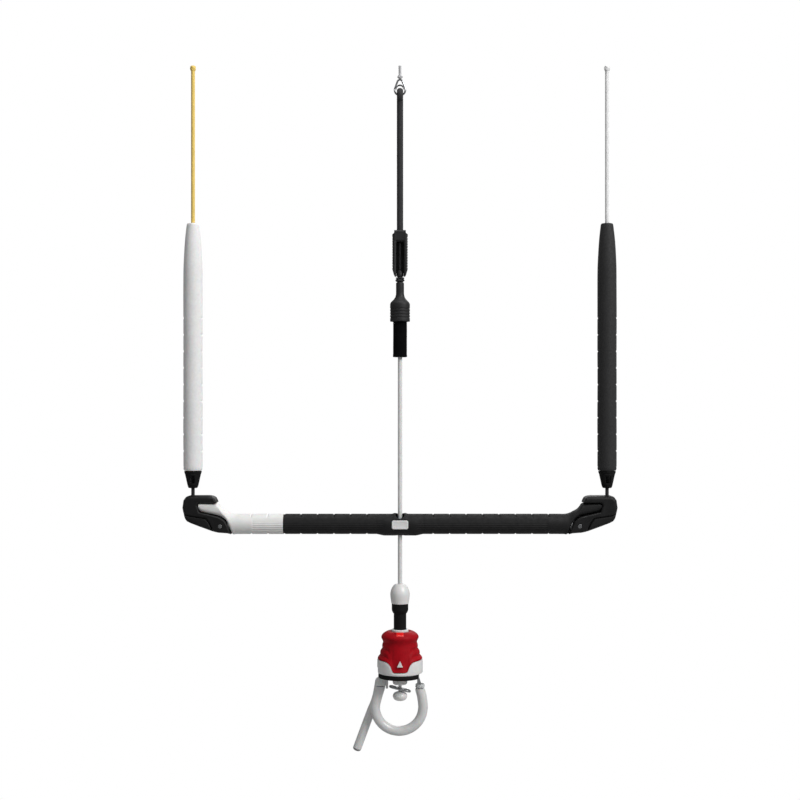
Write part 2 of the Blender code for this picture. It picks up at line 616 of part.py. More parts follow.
def grip(name, low, high, slot):
    edge = 0.6
    wall = [(TUBE_R + GAP, low), (GRIP_R - edge, low), (GRIP_R, low + edge), (GRIP_R, high - edge),
            (GRIP_R - edge, high), (TUBE_R + GAP, high)]
    return turned(name, wall, slot, "bar", hollow=True, sides=FINE_SIDES, axis="X", at=(0, 0, BAR_Z))


def mirrored(outline, side):
    return [(side * x, z) for x, z in outline]


FLARE_OUTLINE = [(192, -538.6), (199.1, -537.9), (209.2, -533.7), (213.7, -530.8), (217.2, -527.0),
                 (218.6, -524.7), (239.9, -524.7), (241.3, -527.4), (238.8, -534.9), (216.3, -540.3),
                 (211.4, -542.7), (207.5, -546.1), (205.2, -550.9), (201.2, -561.6), (192, -561.6)]
FRAME_OUTLINE = [(219.0, -524.3), (220.2, -521.2), (221.8, -518.4), (224.8, -516.5), (229.0, -515.9),
                 (251.5, -515.9), (255.6, -517.1), (258.7, -521.2), (260.0, -530.3), (258.7, -536.6),
                 (252.2, -539.5), (231.6, -542.6), (227.6, -547.7), (223.8, -555.8), (222.8, -558.6),
                 (217.0, -560.0), (206.0, -560.8), (201.7, -561.9), (205.6, -551.1), (207.9, -546.4),
                 (211.7, -543.1), (216.4, -540.7), (239.2, -535.3), (241.8, -527.4), (240.2, -524.3)]
POD_OUTLINE = [(258.5, -537.1), (258.0, -539.5), (256.9, -543.2), (254.6, -546.4), (250.0, -548.7),
               (239.8, -552.6), (223.3, -558.6), (228.1, -547.9), (231.9, -543.0), (252.3, -539.9)]


def make_grips():
    grip("left_grip_black", -WHITE_GRIP_X + GAP, -HUB_HALF - GAP, "black_foam")
    for label, side, low, slot in (("left_grip_white", -1, WHITE_GRIP_X, "white_foam"),
                                   ("right_grip_black", 1, HUB_HALF + GAP, "black_foam")):
        ends = sorted((side * low, side * 201.4))
        body = grip(label, ends[0], ends[1], slot)
        flare = extruded(label + "_flare", mirrored(FLARE_OUTLINE, side), -10.6, 10.6, slot, "bar", rim=1.6)
        combine(body, flare, "UNION")
        bore = sorted((side * 190, side * 213.2))
        cut_hole(body, label + "_bore", "bar", TUBE_R + GAP, bore[0], bore[1], "X", at=(0, 0, BAR_Z),
                 sides=FINE_SIDES)


def make_bar_end(label, side):
    """Hard frame, rubber pod, and the plug, screw and nut that hold the frame on the tube."""
    frame = extruded(label + "_end_frame", mirrored(FRAME_OUTLINE, side), -12.4, 12.4, "black_plastic",
                     "bar", rim=1.4)
    axis_at = (0, 0, BAR_Z)
    steps = (("tube_socket", TUBE_R + GAP, 199.0, TUBE_HALF + GAP), ("plug_socket", 7.5, 200.0, 222.0))
    for name, radius, near, far in steps:
        span = sorted((side * near, side * far))
        cut_hole(frame, f"{label}_{name}", "bar", radius, span[0], span[1], "X", at=axis_at)
    way_at = (side * LEADER_X, 0, LEADER_PIVOT_Z)
    way = [(5.1, -22.0), (5.1, 4.9), (3.6, 5.0), (4.5, 9.0)]
    combine(frame, turned(f"{label}_leader_way", way, "steel", "bar", at=way_at, sides=16))
    screw_at = (side * 214.4, 0, -552.0)
    cut_hole(frame, f"{label}_screw_way", "bar", 1.9, -14, 14, "Y", at=screw_at, sides=12)
    cut_hole(frame, f"{label}_head_way", "bar", 2.9, -14, -10.6, "Y", at=screw_at, sides=12)
    cut_hole(frame, f"{label}_nut_way", "bar", 3.5, 9.6, 14, "Y", at=screw_at, sides=12)
    extruded(label + "_end_pod", mirrored(POD_OUTLINE, side), -11.8, 11.8, "black_rubber", "bar", rim=1.2)

    span = sorted((side * 176.0, side * 221.6))
    plug = turned(label + "_tube_plug", [(7.2, span[0]), (7.2, span[1])], "black_plastic", "bar", axis="X",
                  at=axis_at)
    cut_hole(plug, f"{label}_plug_way", "bar", 1.9, -9, 9, "Y", at=screw_at, sides=12)
    screw = [(1.1, -11.6), (1.1, -12.3), (2.5, -12.3), (2.5, -10.9), (1.6, -10.9), (1.6, 12.0), (0, 12.0),
             (0, -11.6)]
    turned(label + "_end_screw", screw, "steel", "bar", axis="Y", at=screw_at, sides=12)
    nut = [(2.25, 9.9), (3.2, 9.9), (3.2, 12.0), (2.25, 12.0)]
    turned(label + "_end_nut", nut, "steel", "bar", hollow=True, axis="Y", at=screw_at, sides=6)


# Leaders -----------------------------------------------------------------------------------------

def make_leader(label, side, foam, line_slot):
    body = label + "_leader"
    at = (side * LEADER_X, 0, 0)
    x = side * LEADER_X
    pre = meshed(corded(label + "_preline", line_points(-216.0, LEADER_PIVOT_Z, 15.0, x), PRELINE_R,
                        "dark_rope", body))
    ball = [(0, -4.7), (2.9, -3.7), (4.5, -1.3), (4.5, 1.3), (2.9, 3.7), (0, 4.7)]
    stopper = turned(label + "_stopper", ball, "dark_rope", body, sides=12, at=(x, 0, LEADER_PIVOT_Z))
    combine(pre, stopper, "UNION")
    cone = [(2.55, -486.6), (9.9, -486.6), (10.1, -487.4), (9.3, -491.0), (6.6, -503.4), (5.7, -506.2),
            (4.6, -507.0), (2.55, -507.0)]
    clip = turned(label + "_clip", cone, "black_plastic", body, hollow=True, at=at)
    cut_box(clip, label + "_window", body, (x - 3.0, -12.0, -501.1), (x + 3.0, 12.0, -492.3))
    shell = [(2.75, FLOAT_TOP_Z), (6.9, FLOAT_TOP_Z), (7.4, -190.3), (9.0, -204.0), (10.0, -215.0),
             (10.8, -229.0), (11.3, -240.0), (FLOAT_R, -250.0), (FLOAT_R, -483.5), (10.6, FLOAT_BOTTOM_Z),
             (2.75, FLOAT_BOTTOM_Z)]
    turned(label + "_float", shell, foam, body, hollow=True, at=at)
    line = meshed(corded(label + "_leader_line", line_points(-1.5, -215.6, 12.6, x), LEADER_R, line_slot,
                         body))
    knot = [(0, 0), (2.6, -0.5), (3.9, -2.2), (3.9, -5.4), (2.8, -7.6), (0, -8.0)]
    combine(line, turned(label + "_line_knot", knot, line_slot, body, sides=12, at=at), "UNION")


make_materials()
make_pivots()
make_front_line()
make_shackle()
make_trim_rope()
make_trim_cleat()
make_trim_boot()
make_depower_line()
make_swivel()
make_release_spring()
make_sleeve()
make_release_base()
make_leash_plate()
make_loop()
make_finger()
make_bar_centre()
make_grips()
for end_label, end_side in (("left", -1), ("right", 1)):
    make_bar_end(end_label, end_side)
make_leader("left", -1, "white_foam", "yellow_line")
make_leader("right", 1, "black_foam", "white_line")
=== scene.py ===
"""Kite control bar: every visible piece in fine mesh and procedural materials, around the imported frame.

Lengths are millimetres and become metres when a mesh is made. X runs along the bar, Z up towards the
kite, and the rider's side is -Y. Places come from the frame's nodes; profiles are (radius, height).
"""

import json
import math

import bmesh
import bpy
import numpy as np
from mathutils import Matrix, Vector


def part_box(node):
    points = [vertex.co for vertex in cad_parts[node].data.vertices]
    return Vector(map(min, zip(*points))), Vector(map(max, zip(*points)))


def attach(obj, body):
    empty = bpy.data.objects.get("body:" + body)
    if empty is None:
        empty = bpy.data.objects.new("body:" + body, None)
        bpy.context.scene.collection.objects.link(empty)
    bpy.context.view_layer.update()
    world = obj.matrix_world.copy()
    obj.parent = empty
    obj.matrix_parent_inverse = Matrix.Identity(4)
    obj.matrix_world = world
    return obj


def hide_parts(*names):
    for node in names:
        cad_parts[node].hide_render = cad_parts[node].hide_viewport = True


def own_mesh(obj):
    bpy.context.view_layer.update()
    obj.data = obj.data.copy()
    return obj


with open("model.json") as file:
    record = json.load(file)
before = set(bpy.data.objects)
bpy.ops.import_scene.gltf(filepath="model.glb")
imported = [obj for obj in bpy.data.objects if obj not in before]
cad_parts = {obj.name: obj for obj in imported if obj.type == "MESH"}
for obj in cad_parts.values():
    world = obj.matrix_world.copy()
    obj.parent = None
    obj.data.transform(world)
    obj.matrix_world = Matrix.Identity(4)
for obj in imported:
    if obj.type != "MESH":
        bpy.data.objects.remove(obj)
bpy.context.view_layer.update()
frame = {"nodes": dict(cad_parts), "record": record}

MM = 0.001
TAU = math.tau
BODIES = frame["record"]["behaviour"]["bodies"]
BODY_OF = {node: body for body, nodes in BODIES.items() for node in nodes}
FINISH = {}


def span(node):
    """The low and high corners of a node's box, in millimetres."""
    low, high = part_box(node)
    return np.array(low) / MM, np.array(high) / MM


def top_of(node):
    return float(span(node)[1][2])


def middle(node):
    low, high = span(node)
    return (low + high) / 2


def circle(sides):
    """Angles evenly round a circle."""
    return np.linspace(0, TAU, sides, endpoint=False)


def arc(centre, radius, start, end, steps):
    """Points on an arc between two angles in degrees."""
    angles = [math.radians(start + (end - start) * k / steps) for k in range(steps + 1)]
    return [(centre[0] + radius * math.cos(a), centre[1] + radius * math.sin(a)) for a in angles]


def upright(low, high, x=0):
    """A straight route from a box's bottom to its top."""
    return [(x, 0, low[2]), (x, 0, high[2])]


def box_outline(left, right, bottom, top):
    return [(left, bottom), (right, bottom), (right, top), (left, top)]


BAR_Z = float(middle("core_tube")[2])
TUBE_R = float(span("core_tube")[1][1])
GRIP_R = float(span("left_grip_black")[1][1])
LEADER_X = float(middle("right_float")[0])
HUB_HALF = float(span("hub_body")[1][0])


# Shapes ------------------------------------------------------------------------------------------

def made(name, verts, faces, finish, strand_shade_and_fleck=None, smooth_angle=40):
    """A mesh object from points in millimetres, its normals out, smooth but for its sharp edges."""
    mesh = bpy.data.meshes.new(name)
    mesh.from_pydata((np.asarray(verts, float) * MM).tolist(), [], faces)
    if strand_shade_and_fleck is not None:
        mesh.attributes.new("strand_shade_and_fleck", "FLOAT", "POINT").data.foreach_set("value", strand_shade_and_fleck.astype(np.float32))
    bm = bmesh.new()
    bm.from_mesh(mesh)
    bmesh.ops.recalc_face_normals(bm, faces=bm.faces)
    bm.to_mesh(mesh)
    bm.free()
    mesh.shade_smooth()
    mesh.set_sharp_from_angle(angle=math.radians(smooth_angle))
    mesh.materials.append(FINISH[finish])
    piece = bpy.data.objects.new(name, mesh)
    bpy.context.scene.collection.objects.link(piece)
    return piece


def show(piece, *nodes):
    """The piece rides on its nodes' body and stands for them, which are hidden."""
    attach(piece, BODY_OF[nodes[0]])
    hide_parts(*nodes)
    return piece


def skin(name, rings, finish, loop=False, strand_shade_and_fleck=None, smooth_angle=40):
    """A closed surface over rings (rows x sides x 3): a loop of rings, or closed by a fan at each end."""
    rows, sides = rings.shape[:2]
    index = np.arange(rows * sides).reshape(rows, sides)
    lower = index if loop else index[:-1]
    upper = np.roll(index, -1, axis=0) if loop else index[1:]
    quads = np.stack([lower, np.roll(lower, -1, axis=1), np.roll(upper, -1, axis=1), upper], axis=-1)
    faces = quads.reshape(-1, 4).tolist()
    verts = rings.reshape(-1, 3)
    if not loop:
        for centre, ring in ((rows * sides, index[0]), (rows * sides + 1, index[-1])):
            faces += [[int(a), int(b), centre] for a, b in zip(ring, np.roll(ring, -1))]
        verts = np.vstack([verts, rings[0].mean(axis=0), rings[-1].mean(axis=0)])
        if strand_shade_and_fleck is not None:
            strand_shade_and_fleck = np.append(strand_shade_and_fleck.ravel(), [0.5, 0.5])
    if strand_shade_and_fleck is not None:
        strand_shade_and_fleck = strand_shade_and_fleck.ravel()
    return made(name, verts, faces, finish, strand_shade_and_fleck, smooth_angle)


def eased(profile, fillet=0.4, steps=4, loop=False):
    """Rounds a profile's corners. A point's third number is a fillet of its own."""
    spots = [(np.array(p[:2], float), p[2] if len(p) > 2 else fillet) for p in profile]
    last = len(spots) - 1
    points = []
    for i, (spot, radius) in enumerate(spots):
        if radius == 0 or (not loop and i in (0, last)):
            points.append(spot)
            continue
        before, after = spots[i - 1][0] - spot, spots[(i + 1) % len(spots)][0] - spot
        reach = [min(radius, 0.48 * np.linalg.norm(way)) / np.linalg.norm(way) for way in (before, after)]
        start, end = spot + before * reach[0], spot + after * reach[1]
        for k in range(steps + 1):
            t = k / steps
            points.append((1 - t) ** 2 * start + 2 * t * (1 - t) * spot + t ** 2 * end)
    return np.array(points)


def filled(points, step, loop=False):
    """Adds points so that no stretch of a polyline is longer than step."""
    points = [np.asarray(p, float) for p in points]
    ends = points[1:] + (points[:1] if loop else [])
    out = []
    for start, end in zip(points, ends):
        count = max(1, math.ceil(np.linalg.norm(end - start) / step))
        out += [start + (end - start) * k / count for k in range(count)]
    if not loop:
        out.append(points[-1])
    return np.array(out)


def turned(name, node, profile, finish, loop=False, sides=96, relief=None, axis="Z", at=None, step=None,
           fillet=0.4):
    """A turned piece about an axis through at. relief(angle, height) adds to the radius."""
    if at is None:
        at = middle(node)
        if axis == "Z":
            at = np.array([at[0], at[1], 0.0])
    points = eased(profile, fillet, loop=loop)
    if step:
        points = filled(points, step, loop)
    angle = circle(sides)[None, :]
    radius = points[:, :1] + 0 * angle
    height = points[:, 1:] + 0 * angle
    if relief:
        radius = radius + relief(angle, height)
    across, up = radius * np.cos(angle), radius * np.sin(angle)
    order = {"Z": (across, up, height), "X": (height, across, up), "Y": (across, height, up)}[axis]
    rings = np.stack(order, axis=-1) + np.asarray(at)
    piece = skin(name, rings, finish, loop)
    return show(piece, node) if node in BODY_OF else piece


def smooth_route(spots, per_span):
    """Points on a smooth curve through spots (Catmull-Rom)."""
    spots = np.array(spots, float)
    padded = np.vstack([2 * spots[0] - spots[1], spots, 2 * spots[-1] - spots[-2]])
    route = []
    for i in range(1, len(padded) - 2):
        before, start, end, after = padded[i - 1:i + 3]
        linear = end - before
        square = 2 * before - 5 * start + 4 * end - after
        cube = 3 * start - before - 3 * end + after
        for t in np.arange(per_span) / per_span:
            route.append(0.5 * (2 * start + linear * t + square * t ** 2 + cube * t ** 3))
    route.append(spots[-1])
    return np.array(route)


def resampled(path, step):
    """The same polyline with evenly spaced points."""
    path = np.array(path, float)
    along = np.concatenate([[0], np.cumsum(np.linalg.norm(np.diff(path, axis=0), axis=1))])
    wanted = np.linspace(0, along[-1], max(2, math.ceil(along[-1] / step) + 1))
    return np.stack([np.interp(wanted, along, path[:, k]) for k in range(3)], axis=-1), wanted


def tube_rings(path, radius, sides, cyclic=False):
    """Rings round a path: their centres and their two axes carried along without twist."""
    ahead = np.roll(path, -1, axis=0) - np.roll(path, 1, axis=0)
    if not cyclic:
        ahead[0], ahead[-1] = path[1] - path[0], path[-1] - path[-2]
    ahead /= np.linalg.norm(ahead, axis=1)[:, None]
    side = np.cross(ahead[0], [0.0, 1.0, 0.0])
    if np.linalg.norm(side) < 0.1:
        side = np.cross(ahead[0], [1.0, 0.0, 0.0])
    angle = circle(sides)
    rings = np.empty((len(path), sides, 3))
    radius = np.broadcast_to(np.asarray(radius, float), (len(path), sides)) if np.ndim(radius) != 1 \
        else np.repeat(np.asarray(radius, float)[:, None], sides, axis=1)
    for k, (spot, tangent) in enumerate(zip(path, ahead)):
        side = side - tangent * np.dot(side, tangent)
        side /= np.linalg.norm(side)
        up = np.cross(tangent, side)
        rings[k] = spot + radius[k][:, None] * (np.cos(angle)[:, None] * side + np.sin(angle)[:, None] * up)
    return rings


def braid(angle, along, count, pitch, depth):
    """A plain braid of count strands each way, one turn in pitch: radius to add, and each point's painted
    shade: dark in the gaps between strands, light on their crowns, with a random fleck per strand.
    """
    a = count * (angle / TAU + along / pitch)
    b = count * (angle / TAU - along / pitch)
    i, j = np.floor(a), np.floor(b)
    crown_a = np.sqrt(np.clip(1 - (2 * (a - i - 0.5)) ** 2, 0, 1))
    crown_b = np.sqrt(np.clip(1 - (2 * (b - j - 0.5)) ** 2, 0, 1))
    high_a = 0.5 * crown_a + 0.5 * np.cos(np.pi * (b - 0.5 - i))
    high_b = 0.5 * crown_b - 0.5 * np.cos(np.pi * (a - 0.5 - j))
    high = np.maximum(high_a, high_b)
    strand = np.where(high_a > high_b, i % count, 37 + j % count)
    fleck = np.modf(np.sin(strand * 12.9898) * 43758.5453)[0] ** 2
    # Painted shade and painted highlight: gaps between strands darker, crowns lighter; the fleck is each
    # strand's own random colour.
    return depth * (high - 1), np.clip(0.25 + 0.55 * np.clip(high, 0, 1) + 0.2 * fleck, 0, 1)


def rope(name, path, radius, finish, count, pitch, depth, sides=56, step=0.45, bulge=None, cyclic=False):
    """A braided rope along a path. bulge(distance along, angle) adds to its radius, as a knot does."""
    path, along = resampled(path, step)
    if cyclic:
        path, along = path[:-1], along[:-1]
    angle = circle(sides)[None, :]
    added, strand_shade_and_fleck = braid(angle, along[:, None], count, pitch, depth)
    full = radius + added
    if bulge:
        full = full + bulge(along[:, None], angle)
    return skin(name, tube_rings(path, full, sides, cyclic), finish, loop=cyclic, strand_shade_and_fleck=strand_shade_and_fleck, smooth_angle=80)


def knot_bulge(spots, lobes=2):
    """Knots on a rope: spots lists (distance along, half length, added radius)."""
    def bulge(along, angle):
        total = 0 * along + 0 * angle
        for spot, half, added in spots:
            inside = np.clip(1 - ((along - spot) / half) ** 2, 0, 1)
            lobed = 1 + 0.16 * np.cos(lobes * angle + 5 * (along - spot) / half)
            total = total + added * np.sqrt(inside) * lobed
        return total
    return bulge


def end_taper(length, radius, reach):
    """Rounds both ends of a rope: what to add to its radius near them."""
    def bulge(along, angle):
        edge = np.minimum(along, length - along)
        t = np.clip(edge / reach, 0, 1)
        return -radius * (1 - np.sqrt(1 - (1 - t) ** 2)) * 0.85 + 0 * angle
    return bulge


def both(first, second):
    return lambda along, angle: first(along, angle) + second(along, angle)


def applied(piece):
    """Replaces a piece's mesh by its evaluated one, so that no modifier is left."""
    graph = bpy.context.evaluated_depsgraph_get()
    mesh = bpy.data.meshes.new_from_object(piece.evaluated_get(graph))
    piece.modifiers.clear()
    piece.data = mesh
    return piece


def cut(piece, *cutters):
    """Cuts pieces away and deletes them."""
    for cutter in cutters:
        modifier = piece.modifiers.new("cut", "BOOLEAN")
        modifier.operation, modifier.solver, modifier.object = "DIFFERENCE", "EXACT", cutter
    bpy.context.view_layer.update()
    applied(piece)
    for cutter in cutters:
        bpy.data.objects.remove(cutter)
    piece.data.shade_smooth()
    piece.data.set_sharp_from_angle(angle=math.radians(32))
    return piece


def plate(name, outline, low, high, finish, axis="Y", rim=0.4):
    """A flat plate of an outline with rounded rims."""
    bm = bmesh.new()
    if axis == "Y":
        base = [bm.verts.new((u, low, v)) for u, v in outline]
        along = Vector((0, high - low, 0))
    else:
        base = [bm.verts.new((u, v, low)) for u, v in outline]
        along = Vector((0, 0, high - low))
    grown = bmesh.ops.extrude_face_region(bm, geom=[bm.faces.new(base)])
    bmesh.ops.translate(bm, vec=along, verts=[v for v in grown["geom"] if isinstance(v, bmesh.types.BMVert)])
    bmesh.ops.recalc_face_normals(bm, faces=bm.faces)
    rims = [e for e in bm.edges if abs((e.verts[0].co - e.verts[1].co).dot(along)) < 1e-6]
    if rim:
        bmesh.ops.bevel(bm, geom=rims, offset=rim, segments=3, affect="EDGES", clamp_overlap=True)
    bm.verts.index_update()
    verts = [v.co.copy() for v in bm.verts]
    faces = [[v.index for v in f.verts] for f in bm.faces]
    bm.free()
    return made(name, verts, faces, finish, smooth_angle=45)


def rounded_box_outline(half_u, half_v, corner, steps=8, centre=(0, 0)):
    """A rectangle with round corners."""
    points = []
    for quarter, (su, sv) in enumerate(((1, 1), (-1, 1), (-1, -1), (1, -1))):
        for k in range(steps + 1):
            angle = (quarter + k / steps) * TAU / 4
            points.append((centre[0] + su * (half_u - corner) + corner * math.cos(angle),
                           centre[1] + sv * (half_v - corner) + corner * math.sin(angle)))
    return points


def softened(name, node, voxel, passes, finish, shape=None):
    """A node's solid in fine mesh, its edges eased, its points then moved by shape (in millimetres)."""
    piece = bpy.data.objects.new(name, frame["nodes"][node].data.copy())
    bpy.context.scene.collection.objects.link(piece)
    bm = bmesh.new()
    bm.from_mesh(piece.data)
    bmesh.ops.remove_doubles(bm, verts=bm.verts, dist=0.000001)
    bm.to_mesh(piece.data)
    bm.free()
    remesh = piece.modifiers.new("fine", "REMESH")
    remesh.mode, remesh.voxel_size = "VOXEL", voxel * MM
    ease = piece.modifiers.new("ease", "SMOOTH")
    ease.factor, ease.iterations = 0.5, passes
    bpy.context.view_layer.update()
    applied(piece)
    co = np.empty(len(piece.data.vertices) * 3)
    piece.data.vertices.foreach_get("co", co)
    co = co.reshape(-1, 3) / MM
    if shape:
        co = shape(co)
    piece.data.vertices.foreach_set("co", (co * MM).ravel())
    piece.data.materials.clear()
    piece.data.materials.append(FINISH[finish])
    piece.data.shade_smooth()
    return show(piece, node)


def step_up(value):
    """0 below 0, 1 above 1, smooth between."""
    t = np.clip(value, 0, 1)
    return t * t * (3 - 2 * t)


def mirror(points, side):
    return [(side * x, z) for x, z in points]


# Materials ---------------------------------------------------------------------------------------

def material(name, colour, roughness, metallic=0.0, mottle=0.12, mottle_size=9.0, grain=0.0, grain_size=0.6,
             wear=0.0, wear_colour=None, strand_shade_and_fleck=0.0, coat=0.0, sheen=0.0, subsurface=0.0, transmission=0.0,
             lines=None, scuffs=0.0, specular=0.5):
    """A Principled material with colour variation, grain, edge wear and rubbed spots. Sizes are mm.

    strand_shade_and_fleck is how far a braid's painted shade darkens its gaps and its painted highlight
    lightens its crowns, random flecks included. lines is (axis, pitch, depth) of fine drawn lines.
    """
    made_material = bpy.data.materials.new(name)
    made_material.use_nodes = True
    tree = made_material.node_tree
    nodes, link = tree.nodes, tree.links.new
    shader = nodes["Principled BSDF"]
    shader.inputs["Metallic"].default_value = metallic
    shader.inputs["Specular IOR Level"].default_value = specular
    shader.inputs["Coat Weight"].default_value = coat
    shader.inputs["Coat Roughness"].default_value = 0.25
    shader.inputs["Sheen Weight"].default_value = sheen
    shader.inputs["Subsurface Weight"].default_value = subsurface
    shader.inputs["Subsurface Scale"].default_value = 2 * MM
    shader.inputs["Transmission Weight"].default_value = transmission
    place = nodes.new("ShaderNodeTexCoord").outputs["Object"]

    def noise(size, detail=3.0):
        node = nodes.new("ShaderNodeTexNoise")
        node.inputs["Scale"].default_value = 1 / (size * MM)
        node.inputs["Detail"].default_value = detail
        link(place, node.inputs["Vector"])
        return node.outputs["Fac"]

    def ranged(source, low, high, to_low, to_high):
        node = nodes.new("ShaderNodeMapRange")
        node.clamp = True
        for label, value in (("From Min", low), ("From Max", high), ("To Min", to_low), ("To Max", to_high)):
            node.inputs[label].default_value = value
        link(source, node.inputs["Value"])
        return node.outputs["Result"]

    def mixed(factor, first, second):
        node = nodes.new("ShaderNodeMix")
        node.data_type = "RGBA"
        sockets = (node.inputs["Factor"], node.inputs[6], node.inputs[7])
        for socket, value in zip(sockets, (factor, first, second)):
            if isinstance(value, bpy.types.NodeSocket):
                link(value, socket)
            else:
                socket.default_value = (*value, 1.0) if isinstance(value, tuple) else value
        return node.outputs[2]

    darker = tuple(c * (1 - mottle) for c in colour)
    lighter = tuple(min(1.0, c * (1 + mottle)) for c in colour)
    base = mixed(ranged(noise(mottle_size), 0.35, 0.65, 0, 1), darker, lighter)
    # Painted shade and painted highlight from the braid attribute: gaps darkened, strand crowns lightened, with
    # each strand's own random fleck.
    if strand_shade_and_fleck:
        attribute = nodes.new("ShaderNodeAttribute")
        attribute.attribute_name = "strand_shade_and_fleck"
        gap_painted_shade = tuple(c * (1 - strand_shade_and_fleck) for c in colour)
        crown_painted_highlight = tuple(min(1.0, c * (1 + 0.9 * strand_shade_and_fleck)) for c in colour)
        woven_painted_light_and_fleck = mixed(attribute.outputs["Fac"], gap_painted_shade, crown_painted_highlight)
        base = mixed(0.7, base, woven_painted_light_and_fleck)
    rough = ranged(noise(mottle_size * 0.6), 0.3, 0.7, roughness * 0.88, min(1.0, roughness * 1.12))
    if scuffs:
        rubbed = ranged(noise(mottle_size * 2.2, 6.0), 0.56, 0.7, 0.0, scuffs)
        base = mixed(rubbed, base, tuple(min(1.0, c * 1.5 + 0.01) for c in colour))
    if wear:
        edge = ranged(nodes.new("ShaderNodeNewGeometry").outputs["Pointiness"], 0.53, 0.6, 0.0, wear)
        base = mixed(edge, base, wear_colour or tuple(min(1.0, c * 2.2 + 0.02) for c in colour))
    link(base, shader.inputs["Base Color"])
    link(rough, shader.inputs["Roughness"])

    heights = []
    if grain:
        heights.append((noise(grain_size, 2.0), grain))
    if lines:
        axis, pitch, depth = lines
        wave = nodes.new("ShaderNodeTexWave")
        wave.bands_direction = axis
        wave.inputs["Scale"].default_value = TAU / 20 / (pitch * MM)
        wave.inputs["Distortion"].default_value = 1.5
        wave.inputs["Detail"].default_value = 2.0
        link(place, wave.inputs["Vector"])
        heights.append((wave.outputs["Fac"], depth))
    normal = None
    for height, depth in heights:
        bump = nodes.new("ShaderNodeBump")
        bump.inputs["Strength"].default_value = 1.0
        bump.inputs["Distance"].default_value = depth * MM
        link(height, bump.inputs["Height"])
        if normal:
            link(normal, bump.inputs["Normal"])
        normal = bump.outputs["Normal"]
    if normal:
        link(normal, shader.inputs["Normal"])
    FINISH[name] = made_material


def make_materials():
    material("satin_black", (0.0062, 0.0062, 0.0065), 0.5, grain=0.035, grain_size=0.5, wear=0.12, scuffs=0.2,
             specular=0.25)
    material("cleat_grey", (0.0125, 0.0125, 0.013), 0.5, grain=0.05, grain_size=0.45, wear=0.35, scuffs=0.3,
             specular=0.35)
    material("rubber_grey", (0.013, 0.013, 0.0137), 0.62, grain=0.03, grain_size=0.5, wear=0.2, specular=0.35)
    material("rubber_black", (0.0035, 0.0035, 0.0037), 0.7, grain=0.05, grain_size=0.5, wear=0.12, specular=0.2)
    material("pod_rubber", (0.0068, 0.0068, 0.007), 0.62, grain=0.05, grain_size=0.7, wear=0.12, mottle=0.2,
             specular=0.25)
    material("sleeve_cloth", (0.0015, 0.0015, 0.0017), 0.9, specular=0.08, grain=0.09, grain_size=0.35,
             lines=("Z", 0.55, 0.05))
    material("grip_black", (0.0062, 0.0062, 0.0065), 0.66, grain=0.05, grain_size=0.5, wear=0.04, specular=0.3)
    material("grip_white", (0.76, 0.76, 0.75), 0.62, grain=0.05, grain_size=0.5, mottle=0.03, subsurface=0.1)
    material("foam_black", (0.0085, 0.0085, 0.009), 0.75, grain=0.12, grain_size=0.9, mottle=0.18,
             mottle_size=3.0, sheen=0.08)
    material("foam_white", (0.8, 0.8, 0.8), 0.8, grain=0.12, grain_size=0.9, mottle=0.03, mottle_size=3.0,
             subsurface=0.15)
    material("white_shell", (0.74, 0.74, 0.735), 0.34, grain=0.015, grain_size=0.7, mottle=0.02, coat=0.15,
             subsurface=0.08)
    material("white_tube", (0.66, 0.665, 0.66), 0.3, grain=0.02, grain_size=1.2, mottle=0.03, coat=0.3,
             subsurface=0.15)
    material("coated_line", (0.72, 0.72, 0.715), 0.36, grain=0.03, grain_size=0.9, mottle=0.04, coat=0.2,
             subsurface=0.1)
    # Painted shade: the finger's white end cap is coloured grey for the shadow that falls on it.
    material("cap_painted_shade_grey", (0.27, 0.27, 0.275), 0.5, grain=0.03, grain_size=0.5, wear=0.15)
    material("clear_plastic", (0.86, 0.88, 0.88), 0.12, grain=0.01, mottle=0.02, transmission=0.55)
    material("red_shell", (0.34, 0.0025, 0.008), 0.55, grain=0.03, grain_size=0.5, mottle=0.07, specular=0.1,
             mottle_size=5.0, wear=0.15, wear_colour=(0.45, 0.01, 0.02))
    material("red_tab", (0.8, 0.0, 0.0), 0.3, grain=0.01, mottle=0.04, coat=0.3)
    material("steel", (0.36, 0.37, 0.38), 0.26, metallic=1.0, mottle=0.08, grain=0.006, grain_size=0.3,
             wear=0.3, wear_colour=(0.8, 0.8, 0.8))
    material("brushed_steel", (0.34, 0.35, 0.36), 0.3, metallic=1.0, mottle=0.12, lines=("X", 0.25, 0.01),
             wear=0.3, wear_colour=(0.75, 0.75, 0.75))
    material("aluminium", (0.55, 0.56, 0.57), 0.36, metallic=1.0, lines=("X", 0.3, 0.01))
    # The ropes and lines below carry painted shade in their braid gaps and painted highlight on their crowns.
    material("dark_rope", (0.017, 0.017, 0.0185), 0.85, mottle=0.25, mottle_size=2.5, grain=0.06,
             grain_size=0.25, strand_shade_and_fleck=0.9, sheen=0.04)
    material("grey_line", (0.42, 0.42, 0.43), 0.8, grain=0.05, grain_size=0.22, strand_shade_and_fleck=0.5, sheen=0.1)
    material("white_line", (0.66, 0.66, 0.66), 0.8, grain=0.05, grain_size=0.22, strand_shade_and_fleck=0.45, sheen=0.1)
    material("yellow_line", (0.78, 0.52, 0.13), 0.8, mottle=0.15, grain=0.05, grain_size=0.22, strand_shade_and_fleck=0.5,
             sheen=0.1)


# Camera and leader lines -------------------------------------------------------------------------

def make_camera():
    """A product shot from the rider's side, level, a little above the bar."""
    distance, height, lens = 1.6, -0.4014, 60.0
    data = bpy.data.cameras.new("product_camera")
    data.lens, data.sensor_width = lens, 36.0
    camera = bpy.data.objects.new("product_camera", data)
    camera.location = (0, -distance, height)
    camera.rotation_euler = (math.radians(90), 0, 0)
    bpy.context.scene.collection.objects.link(camera)
    bpy.context.scene.camera = camera


